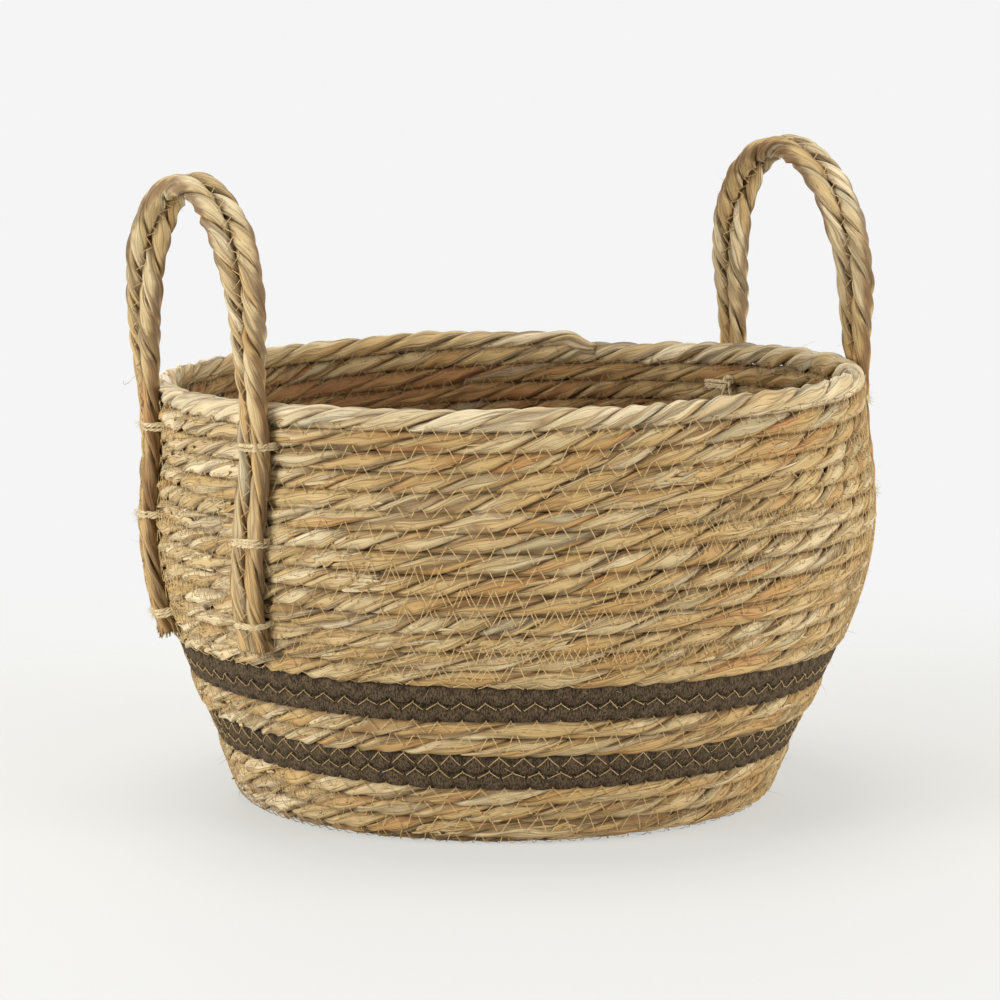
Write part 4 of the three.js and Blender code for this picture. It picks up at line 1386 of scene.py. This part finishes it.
def new_group(name, inputs, outputs):
    """An empty shader group with named sockets, and its two end nodes."""
    group = bpy.data.node_groups.new(name, "ShaderNodeTree")
    for label, kind in inputs:
        group.interface.new_socket(label, in_out="INPUT", socket_type=kind)
    for label, kind in outputs:
        group.interface.new_socket(label, in_out="OUTPUT", socket_type=kind)
    return group, group.nodes.new("NodeGroupInput").outputs, group.nodes.new("NodeGroupOutput").inputs


def leaf_grain_group():
    """Dried rush leaf: leaves of different tones side by side, fibre lines and cracks, and painted shade in
    creases, seams and on the inner side.
    """
    group, given, result = new_group(
        "leaf grain",
        [("Fibre", "NodeSocketVector"), ("Shade", "NodeSocketFloat"), ("Paleness", "NodeSocketFloat")],
        [("Color", "NodeSocketColor"), ("Roughness", "NodeSocketFloat"), ("Height", "NodeSocketFloat")],
    )
    fibre = given["Fibre"]
    leaf_place = stretched(group, fibre, 0.009, 0.19)
    leaf = put(group, "ShaderNodeTexVoronoi", {"Vector": leaf_place, "Scale": 1.0}).outputs["Color"]
    edge = put(group, "ShaderNodeTexVoronoi", {"Vector": leaf_place, "Scale": 1.0},
               feature="DISTANCE_TO_EDGE").outputs["Distance"]
    leaf_parts = put(group, "ShaderNodeSeparateColor", {"Color": leaf}).outputs
    broad = between(group, grain(group, fibre, 0.014, 0.05, 2.0), 0.3, 0.7)
    tone = plus(group, times(group, leaf_parts[0], 0.5), times(group, broad, 0.42))
    tone = plus(group, tone, times(group, given["Paleness"], 0.5), clamp=True)
    colour = ramp(group, tone, LEAF_TONES)
    greenish = between(group, leaf_parts[1], 0.93, 0.95)
    colour = mixed(group, times(group, greenish, 0.55), colour, linear(*LEAF_GREY_GREEN))
    streaks = grain(group, fibre, 0.035, 2.0, 3.0, 0.62)
    colour = toned(group, colour, between(group, streaks, 0.28, 0.72, 0.76, 1.14))
    fine = grain(group, fibre, 0.05, 6.5, 2.0, 0.6)
    colour = toned(group, colour, between(group, fine, 0.3, 0.7, 0.86, 1.10))
    spots = between(group, grain(group, fibre, 0.14, 0.7, 3.0, 0.6), 0.60, 0.74, 0.0, 0.45)
    colour = mixed(group, spots, colour, linear(*LEAF_SPOT))
    middle = maths(group, "SUBTRACT", grain(group, fibre, 0.022, 0.85, 1.0), 0.5)
    crack = between(group, maths(group, "ABSOLUTE", middle), 0.004, 0.016, 1.0, 0.0)
    split = between(group, edge, 0.0, 0.05, 1.0, 0.0)
    line = maths(group, "MAXIMUM", split, times(group, crack, 0.85))
    colour = mixed(group, times(group, line, 0.6), colour, linear(*LEAF_CRACK))
    # Painted shade: the Shade attribute darkens the leaf towards the painted shade colour
    colour = mixed(group, times(group, given["Shade"], 0.85), colour, linear(*LEAF_PAINTED_SHADE))
    rough = between(group, streaks, 0.3, 0.7, 0.64, 0.5)
    rough = plus(group, rough, times(group, given["Shade"], 0.25))
    height = plus(group, times(group, streaks, 0.35), times(group, fine, 0.12))
    height = plus(group, height, times(group, line, -0.32))
    for label, value in (("Color", colour), ("Roughness", rough), ("Height", height)):
        group.links.new(value, result[label])
    return group


def spun_fibre_group():
    """Cotton and twine: short strokes across the cord, flecks and fuzz."""
    group, given, result = new_group(
        "spun fibre",
        [("Fibre", "NodeSocketVector"), ("Shade", "NodeSocketFloat"), ("Along", "NodeSocketFloat"),
         ("Across", "NodeSocketFloat"), ("Dark", "NodeSocketColor"), ("Light", "NodeSocketColor")],
        [("Color", "NodeSocketColor"), ("Roughness", "NodeSocketFloat"), ("Height", "NodeSocketFloat")],
    )
    scale = put(group, "ShaderNodeCombineXYZ", {0: given["Along"], 1: given["Across"], 2: given["Across"]})
    place = put(group, "ShaderNodeVectorMath", {0: given["Fibre"], 1: scale.outputs[0]},
                operation="MULTIPLY").outputs[0]
    strokes = noise(group, place, 3.0, 0.65)
    flecks = grain(group, given["Fibre"], 3.1, 3.1, 2.0, 0.6)
    colour = mixed(group, between(group, strokes, 0.37, 0.63), given["Dark"], given["Light"])
    colour = mixed(group, between(group, flecks, 0.62, 0.72, 0.0, 0.5), colour, given["Light"])
    # Painted shade, darker where the Shade attribute is set
    colour = toned(group, colour, between(group, given["Shade"], 0.0, 1.0, 1.0, 0.45))
    rough = between(group, strokes, 0.3, 0.7, 0.98, 0.86)
    height = plus(group, times(group, strokes, 0.5), times(group, flecks, 0.2))
    for label, value in (("Color", colour), ("Roughness", rough), ("Height", height)):
        group.links.new(value, result[label])
    return group


def new_material(name):
    material = bpy.data.materials.new(name)
    material.use_nodes = True
    tree = material.node_tree
    return material, tree, tree.nodes["Principled BSDF"]


def finish_from(group, name, inputs, bump, attributes=("fibre", "shade"), specular=0.3):
    """A material whose colour, roughness and bump come from a group."""
    material, tree, shader = new_material(name)
    used = put(tree, "ShaderNodeGroup", node_tree=group)
    labels = {"fibre": ("Fibre", "Vector"), "shade": ("Shade", "Fac"), "pale": ("Paleness", "Fac")}
    for attribute in attributes:
        label, output = labels[attribute]
        read = put(tree, "ShaderNodeAttribute", attribute_name=attribute)
        tree.links.new(read.outputs[output], used.inputs[label])
    for label, value in inputs.items():
        used.inputs[label].default_value = value
    tree.links.new(used.outputs["Color"], shader.inputs["Base Color"])
    tree.links.new(used.outputs["Roughness"], shader.inputs["Roughness"])
    bumped = put(tree, "ShaderNodeBump", {
        "Height": used.outputs["Height"], "Strength": bump, "Distance": MM,
    })
    tree.links.new(bumped.outputs["Normal"], shader.inputs["Normal"])
    shader.inputs["Specular IOR Level"].default_value = specular
    return material


def make_finishes():
    leaf = leaf_grain_group()
    spun = spun_fibre_group()
    leaf_values = ("fibre", "shade", "pale")
    return {
        "wall_leaf": finish_from(leaf, "coiled rush leaf", {}, 0.9, leaf_values, 0.32),
        "handle_leaf": finish_from(leaf, "handle rush leaf", {}, 0.8, leaf_values, 0.35),
        "loose_leaf": finish_from(leaf, "torn rush leaf", {}, 0.5, leaf_values),
        "brown_cotton": finish_from(spun, "brown cotton cord", {
            "Along": 1.4, "Across": 0.6, "Dark": linear(38, 30, 22), "Light": linear(99, 83, 62),
        }, 0.8, specular=0.12),
        "thread": finish_from(spun, "straw sewing thread", {
            "Along": 1.2, "Across": 3.0, "Dark": linear(162, 133, 86), "Light": linear(204, 177, 126),
        }, 0.2),
        "twine": finish_from(spun, "cream twine", {
            "Along": 0.7, "Across": 3.4, "Dark": linear(180, 158, 116), "Light": linear(224, 205, 166),
        }, 0.5, specular=0.2),
    }


# The studio

def seen_directly(tree):
    """One for the camera's rays and for what gloss and glass show, zero for the light on things."""
    path = put(tree, "ShaderNodeLightPath").outputs
    return maths(tree, "MAXIMUM", path["Is Camera Ray"],
                 maths(tree, "MAXIMUM", path["Is Glossy Ray"], path["Is Transmission Ray"]))


def make_floor():
    """A pale floor that keeps the shadow and fades into the backdrop away from the basket."""
    material, tree, shader = new_material("pale studio floor")
    place = put(tree, "ShaderNodeNewGeometry").outputs["Position"]
    tree.links.new(ramp(tree, noise(tree, place, 3.0), FLOOR_TONES), shader.inputs["Base Color"])
    shader.inputs["Roughness"].default_value = 0.7
    shader.inputs["Specular IOR Level"].default_value = 0.2
    seen = seen_directly(tree)
    glow = put(tree, "ShaderNodeEmission", {
        "Color": linear(*FLOOR_GLOW_COLOUR), "Strength": 1.0,
    }).outputs[0]
    pale = put(tree, "ShaderNodeMixShader", {
        0: times(tree, seen, FLOOR_GLOW), 1: shader.outputs[0], 2: glow,
    }).outputs[0]
    distance = put(tree, "ShaderNodeVectorMath", {0: place}, operation="LENGTH").outputs["Value"]
    fade = put(tree, "ShaderNodeMapRange", {
        "Value": distance, "From Min": FLOOR_SOLID, "From Max": FLOOR_REACH,
    }, interpolation_type="SMOOTHSTEP").outputs[0]
    clear = put(tree, "ShaderNodeBsdfTransparent").outputs[0]
    both = put(tree, "ShaderNodeMixShader", {0: fade, 1: pale, 2: clear})
    tree.links.new(both.outputs[0], tree.nodes["Material Output"].inputs["Surface"])
    bpy.ops.mesh.primitive_circle_add(vertices=128, radius=FLOOR_REACH, fill_type="NGON")
    floor = bpy.context.object
    floor.name = "studio_floor"
    floor.data.materials.append(material)


def make_world():
    world = bpy.data.worlds.new("studio_world")
    bpy.context.scene.world = world
    world.use_nodes = True
    tree = world.node_tree
    background = tree.nodes["Background"]
    background.inputs["Color"].default_value = (1, 1, 1, 1)
    strength = between(tree, seen_directly(tree), 0.0, 1.0, WORLD_LIGHT, BACKDROP_LIGHT)
    tree.links.new(strength, background.inputs["Strength"])


def add_lamp(name, place, target, size, power):
    lamp = bpy.data.lights.new(name, "AREA")
    lamp.shape = "DISK"
    lamp.size = size
    lamp.energy = power
    made = bpy.data.objects.new(name, lamp)
    made.location = place
    made.rotation_euler = (Vector(target) - Vector(place)).to_track_quat("-Z", "Y").to_euler()
    bpy.context.scene.collection.objects.link(made)


def make_camera():
    data = bpy.data.cameras.new("camera")
    camera = bpy.data.objects.new("camera", data)
    bpy.context.scene.collection.objects.link(camera)
    azimuth = math.radians(CAMERA_AZIMUTH)
    back = Vector((math.sin(azimuth), -math.cos(azimuth), 0))
    camera.location = back * CAMERA_DISTANCE + Vector((0, 0, CAMERA_HEIGHT))
    camera.rotation_euler = (math.radians(90 - CAMERA_PITCH), 0, azimuth)
    data.lens = CAMERA_LENS
    data.sensor_width = 36
    data.shift_x, data.shift_y = CAMERA_SHIFT
    data.clip_end = 100
    bpy.context.scene.camera = camera


def make_studio():
    make_camera()
    make_floor()
    make_world()
    for name, angle, power in SIDE_LAMPS:
        turn = math.radians(angle)
        place = (LAMP_DISTANCE * math.cos(turn), LAMP_DISTANCE * math.sin(turn), LAMP_HEIGHT)
        add_lamp(name, place, SIDE_LAMP_AIM, SIDE_LAMP_SIZE, power)
    add_lamp("top_softbox", TOP_LAMP, TOP_LAMP_AIM, TOP_LAMP_SIZE, TOP_LAMP_POWER)
    bpy.context.scene.view_settings.view_transform = "Standard"


# The whole basket

make_studio()
finishes = make_finishes()

# Name, node, first and last turn, millimetres from ring to ring and sides of a strand
RUSH_STRETCHES = [
    ("upper_rush", "upper_rush_rope", 0, UPPER_CORD_TURN, 2.25, 14),
    ("middle_rush", "middle_rush_rope", MIDDLE_RUSH_TURN, LOWER_CORD_TURN, 2.25, 14),
    ("foot_rush", "foot_rope", FOOT_TURN, BASE_TURN, 2.25, 14),
    ("base_rush", "base_coil", BASE_TURN, EYE_TURN, 2.6, 12),
]
for index, (name, node, first, last, spacing, sides) in enumerate(RUSH_STRETCHES):
    coiled_rush(name, node, first, last, spacing, sides, finishes["wall_leaf"], 10 + index)

BROWN_BANDS = [
    ("upper_brown_band", "upper_brown_cord", UPPER_CORD_TURN, MIDDLE_RUSH_TURN),
    ("lower_brown_band", "lower_brown_cord", LOWER_CORD_TURN, FOOT_TURN),
]
for index, (name, node, first, last) in enumerate(BROWN_BANDS):
    coiled_cord(name, node, first, last, finishes["brown_cotton"], 21 + index)

SEWING = [
    ("outer_seam_thread", 1.0, BASE_TURN, 1),
    ("inner_seam_thread", 1.0, BASE_TURN, -1),
    ("under_floor_thread", BASE_TURN, EYE_TURN - EYE_UNSEWN, 1),
    ("floor_thread", BASE_TURN, EYE_TURN - EYE_UNSEWN, -1),
]
for index, (name, first, last, side) in enumerate(SEWING):
    thread = seam_thread(first, last, side, np.random.default_rng(31 + index))
    basket_piece(name, [thread], finishes["thread"], lowest=LOWEST_THREAD)
basket_piece(
    "second_stitches", extra_stitches(np.random.default_rng(35)), finishes["thread"],
)

for side_index, side in enumerate(("left", "right")):
    handle(side, finishes, 40 + side_index)
    rng = np.random.default_rng(50 + side_index)
    for end, place in ((-1, "front"), (1, "back")):
        leg = leg_frame(side, end)
        for seam, tie_name in zip(leg["seams"], TIE_NAMES):
            tie(leg, seam, f"{side}_{place}_tie_{tie_name}", finishes["twine"], rng)

stray_hairs(finishes["loose_leaf"], np.random.default_rng(60))
loose_slivers(finishes["loose_leaf"], np.random.default_rng(61))

bpy.context.view_layer.update()
